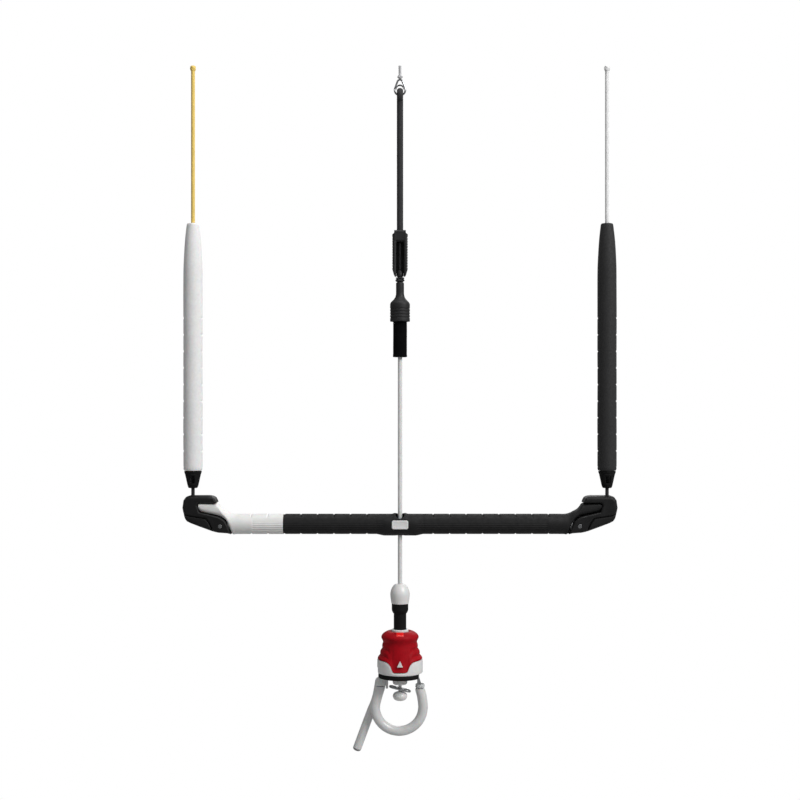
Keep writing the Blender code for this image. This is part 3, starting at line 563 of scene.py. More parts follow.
def make_leader_line(label, side, finish):
    """The line to the kite: out of the float's top, taut, and into its end knot."""
    node = label + "_leader_line"
    low, high = span(node)
    x, top, bottom = side * LEADER_X, high[2], low[2]
    radius, knot_centre, knot_half, knot_added = 2.4, 3.4, 3.2, 1.1
    length = top - bottom
    knot = knot_bulge([(length - knot_centre, knot_half, knot_added)], 3)
    line = rope(label + "_line_braid", upright(low, high, x), radius, finish, 8, 19.0, 0.42,
                bulge=both(knot, end_taper(length, radius, 1.6)))
    show(line, node)


# Centre line and trim rope -----------------------------------------------------------------------

def make_front_line():
    low, high = span("front_line")
    length = high[2] - low[2]
    shape = both(knot_bulge([(length - 2.3, 2.3, 0.1), (1.8, 2.0, 1.5)]), end_taper(length, 1.7, 0.5))
    show(rope("front_line_braid", upright(low, high), 1.7, "grey_line", 6, 13.0, 0.3, sides=48,
              step=0.3, bulge=shape), "front_line")


def make_shackle():
    """A pear of polished wire and the thimble half that lines the rope's eye."""
    wire_r, top_r, bottom_r = 1.1, 3.2, 6.4
    top_z, bottom_z = top_of("shackle_ring") - 4.3, span("shackle_ring")[0][2] + 7.5
    outline = arc((0, top_z), top_r, 15, 165, 24) + arc((0, bottom_z), bottom_r, 165, 375, 48)
    spots = [(x, 0, z) for x, z in outline]
    path, _ = resampled(smooth_route([*spots, spots[0]], 3), 0.35)
    rings = tube_rings(path[:-1], wire_r, 32, cyclic=True)
    show(skin("shackle_wire", rings, "steel", loop=True), "shackle_ring")

    half_width, throat_r, lip_r = 3.2, 3.65, 4.75
    section = eased([(throat_r + 0.9, -half_width), (throat_r + 0.2, -half_width + 0.9), (throat_r, 0),
                     (throat_r + 0.2, half_width - 0.9), (throat_r + 0.9, half_width), (lip_r, half_width),
                     (lip_r - 0.6, half_width - 1.0), (lip_r - 0.8, 0), (lip_r - 0.6, -half_width + 1.0),
                     (lip_r, -half_width)], 0.3, loop=True)
    centre_z = span("thimble")[0][2]
    rows = []
    for k in range(33):
        angle = math.pi * k / 32
        rows.append([(r * math.cos(angle), y, centre_z + r * math.sin(angle)) for r, y in section])
    show(skin("thimble_lining", np.array(rows), "steel"), "thimble")


def make_trim_rope():
    """The thick cover, its shoulders and the eye round the shackle's bow, then the core and its knot."""
    low, high = span("trim_rope")
    rope_r = float(high[0])
    strand_r, eye_depth, eye_height = 3.2, 5.0, 5.8
    eye_z = high[2] - eye_height - strand_r
    shoulder_top = eye_z - 2.3
    length = shoulder_top - low[2]

    def shoulders(along, angle):
        left = (length - along) / 2.0
        return -0.5 * (1 - step_up(left)) * (1 + 0.2 * np.cos(2 * angle)) + 0 * angle
    cover = rope("trim_rope_braid", [(0, 0, low[2]), (0, 0, shoulder_top)], rope_r, "dark_rope", 12, 26.0, 0.5,
                 sides=84, step=0.45, bulge=both(shoulders, end_taper(length, rope_r, 1.2)))
    show(cover, "trim_rope")
    bend = np.linspace(0, TAU, 97)
    ring = np.stack([0 * bend, eye_depth * np.cos(bend), eye_z + eye_height * np.sin(bend)], axis=-1)
    eye = rope("rope_eye_braid", ring, strand_r, "dark_rope", 9, 17.0, 0.42, sides=64, step=0.3, cyclic=True)
    eye_stretch = 1.2
    for vert in eye.data.vertices:
        vert.co.x *= eye_stretch
    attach(eye, BODY_OF["trim_rope"])

    low, high = span("trim_core")
    length = high[2] - low[2]
    core = rope("trim_core_braid", upright(low, high), 1.7, "dark_rope", 6, 13.0, 0.3, sides=48,
                step=0.4, bulge=both(knot_bulge([(5.0, 5.0, 2.7)], 3), end_taper(length, 1.7, 0.8)))
    show(core, "trim_core")


def make_cleat():
    """The fork: rounded rails, a knurled outer side and a pebbled bridge."""
    half, depth, top = span("trim_cleat")[1]
    slot_half, bridge_z, rail_r = 4.35, top - 13.6, 2.4
    core_half, knurl_depth, pebble_pitch, pebble_depth = 4.3, 0.35, 2.0, 0.12
    teeth_top, pitch, tooth_count = top - 7.0, 3.25, 12

    def rails(co):
        x, y, z = co.T
        side = np.abs(x)
        across = side - slot_half
        above = np.maximum(z - bridge_z, 0)
        to_slot = np.where(z < bridge_z, across, np.hypot(np.maximum(across, 0), above))
        to_slot = np.where(y < 0, to_slot, rail_r)
        inside = np.clip(np.minimum(half - side, np.minimum(to_slot, top - z)), 0, rail_r)
        outer = step_up((np.abs(y) - core_half) / 0.8)
        keep = 1 - outer * (rail_r - np.sqrt(rail_r ** 2 - (rail_r - inside) ** 2)) / depth
        phase = (teeth_top - z) / pitch
        knurl = np.where((phase > 0) & (phase < tooth_count), 0.5 - 0.5 * np.cos(TAU * phase), 0)
        x = x - np.sign(x) * knurl_depth * knurl * step_up((side - slot_half - 1.5) / 2)
        pebble = np.cos(TAU * (x + z) / pebble_pitch) * np.cos(TAU * (x - z) / pebble_pitch)
        patch = step_up((z - bridge_z - 1.0) / 1.5) * step_up((top - 2.5 - z) / 1.5)
        patch = patch * step_up((6.0 - side) / 1.5)
        y = y * keep - np.sign(y) * pebble_depth * (1 - pebble) * patch * (np.abs(y) > depth - 1.2)
        return np.stack([x, y, z], axis=-1)
    softened("cleat_body", "trim_cleat", 0.33, 4, "cleat_grey", rails)


def make_boot():
    """Grommet knot, the ribbed rubber boot and the cloth sleeve under it."""
    turk_z, ring_r, wave, strand_r = middle("neck_grommet")[2], 4.35, 1.9, 0.78
    turn = np.linspace(0, 3 * TAU, 721)
    out = ring_r + 0.42 * np.sin(8 * turn / 3)
    path = np.stack([out * np.cos(turn), out * np.sin(turn), turk_z + wave * np.cos(4 * turn / 3)], axis=-1)
    show(rope("neck_grommet_braid", path, strand_r, "dark_rope", 4, 6.0, 0.16, sides=24, step=0.3, cyclic=True),
         "neck_grommet")

    top = top_of("trim_boot")
    neck_r, skirt_r, rib_depth, rib_pitch = 4.7, 11.8, 0.7, 3.55
    outer = [(2.6, top, 0), (3.4, top - 1.4, 1), (4.15, top - 4.0, 1), (4.15, top - 6.6, 0.5),
             (3.2, top - 7.4, 0.5), (3.2, top - 13.8, 0.6), (neck_r, top - 14.6, 1.2),
             (neck_r, top - 29.5, 4), (6.4, top - 33.6, 4), (10.4, top - 37.4, 3), (skirt_r, top - 39.6, 1.6)]
    for rib in range(4):
        groove = top - 45.2 - rib * rib_pitch
        outer += [(skirt_r, groove, 0.35), (skirt_r - rib_depth, groove - 0.6, 0.3),
                  (skirt_r, groove - 1.4, 0.35)]
    bottom = span("trim_boot")[0][2]
    outer += [(skirt_r, bottom + 0.2, 0.5), (11.0, bottom, 0.3), (8.6, bottom, 0.2), (8.6, bottom + 7.4, 0.2),
              (2.1, bottom + 8.0, 0.2), (2.1, top, 0)]

    def seam(angle, height):
        """A faint moulding line down each side."""
        return 0.1 * np.exp(-(np.sin(angle) / 0.02) ** 2)
    turned("boot_rubber", "trim_boot", outer, "rubber_grey", loop=True, sides=128, relief=seam, at=(0, 0, 0))

    top, bottom = top_of("trim_sleeve"), span("trim_sleeve")[0][2]
    sleeve_r, wall = 8.3, 1.3
    hem_r = sleeve_r + 0.22
    hems = [(sleeve_r - 0.2, top), (sleeve_r, top - 1.0), (sleeve_r, bottom + 3.2), (hem_r, bottom + 2.6),
            (hem_r, bottom + 0.6), (sleeve_r - 0.4, bottom, 0.5), (2.9, bottom, 0.3),
            (2.9, bottom + 1.6), (sleeve_r - wall, bottom + 1.8), (sleeve_r - wall, top)]

    def cloth(angle, height):
        """Slack in the cloth: long shallow folds."""
        inside = step_up((top - height) / 4) * step_up((height - bottom) / 4)
        return 0.1 * inside * (np.sin(3 * angle + height / 9) + 0.6 * np.sin(5 * angle - height / 6))
    turned("sleeve_cloth", "trim_sleeve", hems, "sleeve_cloth", loop=True, sides=96, relief=cloth, step=1.2,
           at=(0, 0, 0))


def make_depower_line():
    """The coated line through the bar, with the knots that hold it in the sleeve and in the swivel."""
    low, high = span("depower_line")
    length = high[2] - low[2]
    path, along = resampled(upright(low, high), 1.2)
    knots = knot_bulge([(3.1, 3.1, 2.7), (length - 3.6, 3.6, 2.2)], 2)
    angle = circle(40)[None, :]
    radius = 2.6 + knots(along[:, None], angle) + end_taper(length, 2.6, 0.8)(along[:, None], angle)
    wander = 0.02 * np.cos(2 * angle + along[:, None] / 30)
    show(skin("depower_coating", tube_rings(path, radius + wander, 40), "coated_line"), "depower_line")


# Swivel and release ------------------------------------------------------------------------------

def make_swivel():
    top = top_of("swivel_dome")
    dome = [(4.4, top, 0.4), (6.8, top - 0.7, 1.5), (9.4, top - 4.0, 2.2), (11.1, top - 8.0, 2.2),
            (11.7, top - 11.6, 2), (11.5, top - 15.5, 2), (10.45, top - 23.0, 0.5), (10.1, top - 23.5, 0.3),
            (7.6, top - 23.5, 0.3), (7.6, top - 8.2, 0.5), (2.95, top - 7.9, 0.3), (2.95, top, 0.4)]
    turned("dome_shell", "swivel_dome", dome, "white_shell", loop=True, sides=128, at=(0, 0, 0))
    top = top_of("dome_cap")
    cap = [(3.4, top), (7.3, top), (7.3, top - 3.6), (3.4, top - 3.6)]
    turned("dome_cap_ring", "dome_cap", cap, "steel", loop=True, fillet=0.3)
    top = top_of("swivel_pin")
    pin = [(0, top, 0), (6.4, top), (6.9, top - 0.6), (6.9, top - 4.2), (3.0, top - 4.2), (3.0, top - 19.6),
           (2.4, top - 20.2, 0.2), (0, top - 20.2, 0)]
    turned("swivel_pin_turned", "swivel_pin", [(max(r, 0.01), h, *f) for r, h, *f in pin], "steel")

    low, high = span("swivel_collar")
    collar_r = float(high[0])
    top = high[2]

    def knurl(angle, height):
        """A fine diamond knurl round the collar's straight wall."""
        band = step_up((top - 1.0 - height) / 0.6) * step_up((height - top + 7.4) / 0.6)
        rib = np.abs(np.sin(20 * angle + 1.9 * height)) * np.abs(np.sin(20 * angle - 1.9 * height))
        return -0.22 * band * rib
    collar = [(3.4, top, 0.3), (collar_r, top, 0.4), (collar_r, top - 7.6, 1.6), (8.3, top - 11.0, 0.8),
              (7.8, top - 11.0, 0.2), (7.8, top - 3.4, 0.2), (3.4, top - 3.1, 0.2)]
    turned("collar_shell", "swivel_collar", collar, "rubber_black", loop=True, sides=240, relief=knurl,
           step=0.3)
    low, high = span("release_tube")
    tube_r = float(high[0])
    tube = [(6.2, low[2], 0.2), (tube_r, low[2], 0.3), (tube_r, high[2], 0.3), (6.2, high[2], 0.2)]

    def flats(angle, height):
        return 0.03 * np.cos(8 * angle)
    turned("tube_shell", "release_tube", tube, "rubber_black", loop=True, relief=flats, step=2.0)
    low, high = span("spring_retainer")
    ring_r = float(high[0])
    ring = [(7.8, low[2], 0.2), (ring_r, low[2], 0.3), (ring_r, high[2] - 0.6, 0.4), (9.6, high[2], 0.4),
            (8.4, high[2], 0.3), (7.8, high[2] - 0.5, 0.2)]
    turned("retainer_ring", "spring_retainer", ring, "white_shell", loop=True)


def make_spring():
    coil_r, wire_r, turns = 9.1, 0.75, 4
    low, high = span("release_spring")
    top, bottom = high[2] - wire_r, low[2] + wire_r
    turn = np.linspace(0, turns * TAU, 40 * turns + 1)
    share = turn / turn[-1]
    path = np.stack([coil_r * np.cos(turn), coil_r * np.sin(turn), top + (bottom - top) * share], axis=-1)
    spring = show(skin("spring_wire", tube_rings(path, wire_r, 20), "brushed_steel"), "release_spring")
    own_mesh(spring)


# The red sleeve's lower edge: (distance round from the front's middle, how far it hangs down)
SKIRT_EDGE = [(0, 12.4), (6.2, 12.4), (7.5, 12.1), (9.0, 11.2), (9.9, 9.6), (11.2, 6.6), (12.6, 4.4),
              (14.5, 2.5), (17.5, 1.0), (22.0, 0.3), (30.0, 0.0)]
SKIRT_SIDES = 288


def from_rider(angle):
    """How far round each angle is from the rider's side, either way."""
    return np.abs((angle - 1.5 * math.pi + math.pi) % TAU - math.pi)


def skirt_drop(angle):
    """How far the red sleeve's lower edge hangs below its back edge: a tongue on the rider's side."""
    base_r = float(span("release_base")[1][1])
    from_front = from_rider(angle) * base_r
    curve = smooth_route(SKIRT_EDGE, 8)
    return np.interp(from_front, curve[:, 0], curve[:, 1])


def make_sleeve():
    """The red sleeve: a rolled collar, scalloped sides, and a smooth front that runs down into a tongue."""
    low, high = span("release_sleeve")
    rim = high[2]
    top = rim - 1.2
    skirt = top - 31.2
    bore_r = 10.75
    collar = [(bore_r, rim - 1.6, 0.8), (11.6, rim, 1.0), (15.4, rim, 2.0), (20.2, top - 1.6, 2),
              (22.3, top - 4.4, 1.6)]
    side = [*collar, (22.5, top - 6.6, 1.6), (20.9, top - 9.6, 1.6), (20.2, top - 11.6, 1.2),
            (21.4, top - 15.0, 1.4), (21.5, top - 17.2, 1.2), (20.9, top - 18.4, 0.8), (23.6, top - 22.4, 1.2),
            (23.9, top - 25.0, 1.2), (23.4, top - 26.2, 0.8), (26.4, top - 29.8, 0.8), (26.8, top - 31.2, 0.3)]
    front = [*collar, (22.3, top - 7.0, 2.5), (20.9, top - 10.5, 2.5), (21.0, top - 13.0, 2.5),
             (21.7, top - 16.5, 2), (22.4, top - 19.4, 2), (23.2, top - 22.2, 2), (24.0, top - 24.6, 2),
             (24.9, top - 26.8, 2), (25.7, top - 28.8, 1.5), (26.5, top - 30.4, 1), (26.9, top - 31.2, 0.3)]
    side, front = eased(side, steps=6), eased(front, steps=6)
    angle = circle(SKIRT_SIDES)
    off_front = from_rider(angle)
    blend = step_up((off_front - math.radians(26)) / math.radians(22))
    blend = blend * step_up((math.radians(168) - off_front) / math.radians(20) + 0.35)
    radius = front[:, :1] + (side[:, :1] - front[:, :1]) * blend
    height = front[:, 1:] + (side[:, 1:] - front[:, 1:]) * blend
    drop = skirt_drop(angle)
    fall = step_up((top - 8.0 - height) / (top - 8.0 - skirt))
    height = height - drop * fall
    panel = step_up((math.radians(24) - off_front) / math.radians(5))
    radius = radius + 0.55 * panel * step_up((top - 12.0 - height) / 10)
    lip_r, lip_z = radius[-1], height[-1]
    inner = [(lip_r - 0.3, lip_z - 0.35), (lip_r - 1.6, lip_z - 0.35), (lip_r - 2.0, lip_z + 0.6)]
    inner += [(17.5, top - 26.9), (8.0, top - 25.2), (8.0, top - 22.4), (bore_r, top - 22.1)]
    radius = np.vstack([radius, *[r + 0 * angle for r, _ in inner]])
    height = np.vstack([height, *[h + 0 * angle for _, h in inner]])
    rings = np.stack([radius * np.cos(angle), radius * np.sin(angle), height], axis=-1)
    show(skin("sleeve_shell", rings, "red_shell", loop=True, smooth_angle=50), "release_sleeve")

    low, high = span("arrow_inlay")
    points = [(0.88 * low[0], low[2]), (0.88 * high[0], low[2]), (0.0, high[2])]
    arrow = eased([(u, v, 0.45) for u, v in points], loop=True)
    inlay = plate("arrow_plate", [tuple(p) for p in arrow], low[1] - 0.25, high[1] + 1.2, "white_shell",
                  rim=0.15)
    show(inlay, "arrow_inlay")

    tab = bent_pad("release_tab", "red_tab", 4.3, [(12.4, rim), (15.4, rim), (20.6, top - 1.8)], 0.35)
    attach(tab, BODY_OF["release_sleeve"])


def bent_pad(name, finish, half_width, slope, thick):
    """A small raised pad on the collar's top, on the rider's side. slope lists (distance out, height)."""
    outs, heights = zip(*slope)
    section = [(-1.0, -1.2), (-1.0, 0.5), (-0.94, 0.85), (-0.84, 1.0), (0.84, 1.0), (0.94, 0.85), (1.0, 0.5),
               (1.0, -1.2)]
    rows = []
    for out in np.linspace(outs[0], outs[-1], 25):
        height = np.interp(out, outs, heights)
        end = step_up(min(out - outs[0], outs[-1] - out) / 0.7)
        rows.append([(u * half_width * (0.9 + 0.1 * end), -out, height + (v * thick * end if v > 0 else v))
                     for u, v in section])
    return skin(name, np.array(rows), finish)


def make_base():
    """White base that meets the sleeve's edge, black ring, boss, stopper ball and safety line."""
    low, high = span("release_base")
    base_r, top, bottom = float(high[0]), high[2], low[2]
    seam_gap, way_half, block_half, block_inner_x = 0.45, 2.4, 6.4, -16.5
    angle = circle(SKIRT_SIDES)
    drop = skirt_drop(angle)
    rim_z = top - 0.1 - drop - seam_gap
    rows = [(base_r - 3.2, rim_z - 0.4), (base_r - 1.0, rim_z - 0.1), (base_r - 0.25, rim_z - 0.35),
            (base_r, rim_z - 1.1)]
    for share in (0.25, 0.5, 0.75):
        rows.append((base_r + 0.12, rim_z - 1.1 + (bottom + 1.6 - rim_z + 1.1) * share))
    rows += [(base_r, bottom + 1.2), (base_r - 0.3, bottom + 0.4), (base_r - 1.0, bottom), (2.3, bottom),
             (2.3, bottom + 6.2), (7.8, bottom + 6.5), (7.8, top - 8.0), (12.0, top - 8.6)]
    radius = np.array([0 * angle + r for r, _ in rows])
    height = np.array([h + 0 * angle for _, h in rows])
    rings = np.stack([radius * np.cos(angle), radius * np.sin(angle), height], axis=-1)
    base = skin("base_shell", rings, "white_shell", loop=True)
    slot_low_x = float(span("loop_tongue")[0][0]) - 0.6
    slot_box = box_outline(slot_low_x, 24.3, bottom - 1, bottom + 9.0)
    knuckle_box = box_outline(-29.0, block_inner_x, bottom - 1, bottom + 6.7)
    cut(base, plate("slot_cut", slot_box, -way_half, way_half, "steel", rim=0),
        plate("knuckle_cut", knuckle_box, -block_half, block_half, "steel", rim=0))
    show(base, "release_base")

    low, high = span("base_ring")
    ring_r, top, bottom = math.hypot(low[0], block_half) + 0.6, high[2], low[2] - 0.8
    flat_x = float(high[0])
    profile = [(9.2, top, 0.2), (ring_r - 0.8, top, 0.4), (ring_r, top - 0.9, 0.5), (ring_r, bottom + 1.2, 0.5),
               (ring_r - 1.2, bottom, 0.6), (9.2, bottom, 0.2)]
    ring = turned("ring_blank", "", profile, "rubber_black", loop=True, sides=192, at=(0, 0, 0))
    ring.name = "ring_shell"
    cutters = []
    for label, left, right, half in (("flat_cut", flat_x, 34, 32), ("way_cut", slot_low_x, 24, way_half),
                                     ("block_cut", -30, block_inner_x, block_half)):
        outline = box_outline(left, right, bottom - 3, top + 3)
        cutters.append(plate(label, outline, -half, half, "steel", rim=0))
    show(cut(ring, *cutters), "base_ring")

    low, high = span("lower_boss")
    boss_r, top, bottom = float(high[0]), high[2], low[2]
    boss = [(2.3, top, 0.2), (boss_r, top, 0.3), (boss_r, top - 4.2, 0.5), (boss_r - 0.5, top - 4.7, 0.3),
            (boss_r - 0.5, top - 5.4, 0.3), (boss_r, top - 5.9, 0.5), (boss_r, bottom + 1.8, 0.8),
            (boss_r - 1.1, bottom, 0.6), (3.4, bottom, 0.6), (2.3, bottom + 0.8, 0.2)]
    turned("boss_shell", "lower_boss", boss, "white_shell", loop=True)
    low, high = span("stopper_ball")
    ball_r, top = float(high[0]), high[2]
    ball = [(0.01, top, 0), (3.0, top, 0.8), (4.4, top - 0.2, 1), (7.3, top - 1.5, 2.4), (8.7, top - 4.2, 2.4),
            (8.6, top - 6.6, 2.4), (7.0, top - 9.4, 2.4), (4.2, top - 10.7, 1.4), (0.01, top - 10.8, 0)]

    def parting(angle, height):
        return 0.12 * np.exp(-((height - top + 5.2) / 0.3) ** 2) * (ball_r / 9)
    turned("ball_shell", "stopper_ball", ball, "white_shell", sides=96, relief=parting, step=0.5)
    low, high = span("safety_line")
    show(rope("safety_line_braid", upright(low, high), 2.0, "white_line", 7, 15.0, 0.35, sides=48),
         "safety_line")


def make_leash_plate():
    """A polished plate with two eyes, tilted on the safety line."""
    half_length, half_width, thick, eye_x, eye_r = 13.4, 5.6, 2.2, 8.6, 3.5
    tilt = math.radians(13.7)
    outline = arc((half_length - half_width, 0), half_width, -90, 90, 32)
    outline += [(-x, -y) for x, y in outline]
    steel = plate("leash_plate_polished", outline, -thick / 2, thick / 2, "steel", axis="Z", rim=0)
    holes = []
    for x, radius in ((-eye_x, eye_r), (eye_x, eye_r), (0, 2.8)):
        hole = [(radius, -4), (radius, 4)]
        holes.append(turned("eye_cut", "", hole, "steel", sides=48, at=(x, 0, 0), fillet=0))
    cut(steel, *holes)
    bevel = steel.modifiers.new("rim", "BEVEL")
    bevel.width, bevel.segments, bevel.limit_method = 0.5 * MM, 3, "ANGLE"
    bpy.context.view_layer.update()
    applied(steel)
    steel.data.shade_smooth()
    steel.data.set_sharp_from_angle(angle=math.radians(40))
    steel.rotation_euler = (0, tilt, 0)
    steel.location = Vector(middle("leash_plate")) * MM
    show(steel, "leash_plate")


# Chicken loop and finger -------------------------------------------------------------------------

def make_loop():
    low, high = span("chicken_loop")
    loop_r = 5.8
    bow_r = 28.7
    bow_x, bow_z = (low[0] + high[0]) / 2, low[2] + loop_r + bow_r
    spots = [(-23.7, 0, high[2]), (-23.9, 0, high[2] - 2.5), (-27.2, 0, bow_z + 12.3)]
    spots += [(x, 0, z) for x, z in arc((bow_x, bow_z), bow_r, 180, 360, 8)]
    spots += [(26.3, 0, bow_z + 12.3), (24.3, 0, bow_z + 20.2), (24.2, 0, bow_z + 22.8)]
    path, along = resampled(smooth_route(spots, 12), 0.8)
    angle = circle(56)[None, :]
    radius = loop_r + 0.02 * np.cos(5 * angle) + end_taper(along[-1], loop_r, 0.7)(along[:, None], angle)
    show(skin("loop_tube", tube_rings(path, radius, 56), "white_tube"), "chicken_loop")

    block_x, block_round = -22.6, 6.6

    def rounded_front(co):
        """The block's front and back follow the tube's roundness."""
        x, y, z = co.T
        across = np.clip(np.abs(x - block_x) / block_round, 0, 0.92)
        return np.stack([x, y * np.sqrt(1 - across ** 2), z], axis=-1)
    softened("hinge_block", "loop_block", 0.3, 5, "white_tube", rounded_front)
    softened("tongue_steel", "loop_tongue", 0.22, 5, "brushed_steel")
    low, high = span("loop_ferrule")
    at = (middle("loop_ferrule")[0], 0, 0)
    cup_r, top, bottom = 5.6, high[2], low[2]
    cup = [(4.3, top, 0.2), (cup_r - 0.5, top, 0.4), (cup_r - 0.2, top - 1.0, 0.4), (cup_r, top - 1.6, 0.4),
           (cup_r, bottom + 0.5, 0.4), (cup_r - 0.3, bottom, 0.3), (4.3, bottom, 0.2)]
    turned("ferrule_cup", "loop_ferrule", cup, "clear_plastic", loop=True, at=at)


def make_finger():
    """The bent stick behind the loop and its end cap."""
    low, high = span("finger_tube")
    finger_r = (high[1] - low[1]) / 2
    y, top = middle("finger_tube")[1], high[2] - finger_r
    spots = [(-25.0, y, top), (-26.1, y, top - 7.0), (-27.8, y, top - 16.0), (-30.4, y, top - 25.0),
             (-34.2, y, top - 34.0), (-38.8, y, top - 46.0), (-45.2, y, top - 63.2), (-51.75, y, top - 80.8)]
    path, along = resampled(smooth_route(spots, 10), 0.6)
    back = (path[0] - path[1]) / np.linalg.norm(path[0] - path[1])
    dome = np.radians(np.arange(85, 4, -8))
    path = np.vstack([path[0] + back * finger_r * np.sin(dome)[:, None], path])
    angle = circle(48)[None, :]
    radius = np.concatenate([finger_r * np.cos(dome), 0 * along + finger_r])[:, None] + 0.02 * np.cos(3 * angle)
    show(skin("finger_stick", tube_rings(path, radius, 48), "white_tube"), "finger_tube")

    cap = [(0.01, 0, 0), (5.0, 0, 0.2), (5.0, -0.6, 0.3), (4.3, -1.9, 0.6), (2.8, -2.7, 0.6), (0.01, -3.0, 0)]
    lean, cap_x, cap_drop = math.atan2(6.55, 17.6), -51.86, 81.08
    # Painted shade: the cap is grey to stand for the shadow on the finger's white end.
    plug = turned("finger_end_cap", "", cap, "cap_painted_shade_grey", sides=64, at=(0, 0, 0), fillet=0.4)
    plug.rotation_euler = (0, lean, 0)
    plug.location = Vector((cap_x, y, top - cap_drop)) * MM
    show(plug, "finger_cap")


# Bar ---------------------------------------------------------------------------------------------

# The grip's ribs run along the bar between two heights about its axis; its notches repeat along X.
RIB_LOW, RIB_HIGH, RIB_PITCH, RIB_END_X = -7.6, 7.2, 2.55, 177.0
NOTCH_FIRST_X, NOTCH_PITCH, NOTCH_COUNT = 39.7, 19.76, 8


def grip_relief(x, y, z):
    """Ribs along the bar's front and back, and short notches over its top and under it."""
    side = np.abs(x)
    height = z - BAR_Z
    band = step_up((height - RIB_LOW) / 1.2) * step_up((RIB_HIGH - height) / 1.2)
    reach = step_up((side - 17.0) / 6) * step_up((RIB_END_X - side) / 1.5)
    ribs = -0.5 * (0.5 - 0.5 * np.cos(TAU * (height - RIB_LOW) / RIB_PITCH)) * band * reach
    notch = 0 * x
    for k in range(NOTCH_COUNT):
        notch = np.maximum(notch, np.exp(-((side - NOTCH_FIRST_X - k * NOTCH_PITCH) / 0.8) ** 2))
    over = step_up((np.abs(height) - 7.8) / 2.4)
    return ribs - 0.95 * notch * over


def bar_round(x_list, radius_list, sides):
    """Circles round the bar's axis, with the grip's relief on them."""
    angle = circle(sides)[None, :]
    x = np.asarray(x_list, float)[:, None] + 0 * angle
    radius = np.asarray(radius_list, float)[:, None] + 0 * angle
    y, z = radius * np.cos(angle), BAR_Z + radius * np.sin(angle)
    worn = radius + grip_relief(x, y, z) * (radius > TUBE_R + 1)
    return np.stack([x, worn * np.cos(angle), BAR_Z + worn * np.sin(angle)], axis=-1)


# The outer grip's flare into the bar's end: its lower and upper edge, half depth and squareness, point by
# point. A squareness of 2 is an ellipse.
FLARE_LOW = [(190, -562.15), (196, -562.15), (200.8, -561.7), (205.0, -551.0), (207.3, -546.2), (211.4, -542.9),
             (216.3, -540.5), (238.4, -535.1), (240.9, -531.0), (241.0, -528.8)]
FLARE_HIGH = [(190, -537.85), (197, -537.9), (202.6, -536.8), (208.2, -534.2), (213.0, -531.6), (216.2, -528.4),
              (218.4, -525.2), (222.0, -524.8), (238.6, -524.9), (240.6, -526.4)]
FLARE_DEPTH = [12.15, 12.15, 12.1, 11.9, 11.6, 11.3, 11.0, 10.8, 10.6, 9.6]
FLARE_SQUARE = [2.0, 2.0, 2.05, 2.1, 2.3, 2.5, 2.7, 2.9, 3.0, 3.0]


def make_grip(name, node, finish, side, near, far, flare):
    """A foam grip on the core tube; an outer one flares up into the bar's end."""
    sides, bore_r, edge = 128, TUBE_R + 0.3, 0.3
    ease = np.radians([0, 30, 60, 90])
    xs = [far - 1 if not flare else 200.0, near, *(near + edge * (1 - np.cos(ease)))]
    radii = [bore_r, bore_r, *(GRIP_R - edge + edge * np.sin(ease))]
    last = 189.5 if flare else far - edge
    body = np.arange(near + edge + 0.4, last, 0.4)
    xs += list(body)
    radii += [GRIP_R] * len(body)
    if not flare:
        xs += [*(far - edge * (1 - np.sin(ease))), far]
        radii += [*(GRIP_R - edge + edge * np.cos(ease)), bore_r]
        rings = bar_round(np.array(xs) * side, radii, sides)
        piece = skin(name, rings[1:], finish, loop=True)
        return show(piece, node)
    rings = bar_round(np.array(xs) * side, radii, sides)
    low, high = smooth_route(FLARE_LOW, 8), smooth_route(FLARE_HIGH, 8)
    shape = smooth_route(np.stack([FLARE_DEPTH, FLARE_SQUARE], axis=-1), 8)
    angle = circle(sides)
    more = []
    for (x0, z0), (x1, z1), (depth, square) in zip(low, high, shape):
        up = np.sign(np.sin(angle)) * np.abs(np.sin(angle)) ** (2 / square)
        out = np.sign(np.cos(angle)) * np.abs(np.cos(angle)) ** (2 / square)
        x = (x0 + x1) / 2 + up * (x1 - x0) / 2
        z = (z0 + z1) / 2 + up * (z1 - z0) / 2
        more.append(np.stack([side * x, depth * out, z], axis=-1))
    piece = skin(name, np.concatenate([rings, np.array(more)]), finish)
    return show(piece, node)


RECESS, RECESS_RISE = [(5.6, -20), (5.6, 1.3)], 12.4
WAY_LOW, WAY_NARROWS = 9.5, 0.64


def recess_cutter(name):
    """The round scallop in front of the line, at the hub's top: a cylinder across the bar."""
    return turned(name, "", RECESS, "steel", axis="Y", at=(0, 0, BAR_Z + RECESS_RISE), fillet=0)


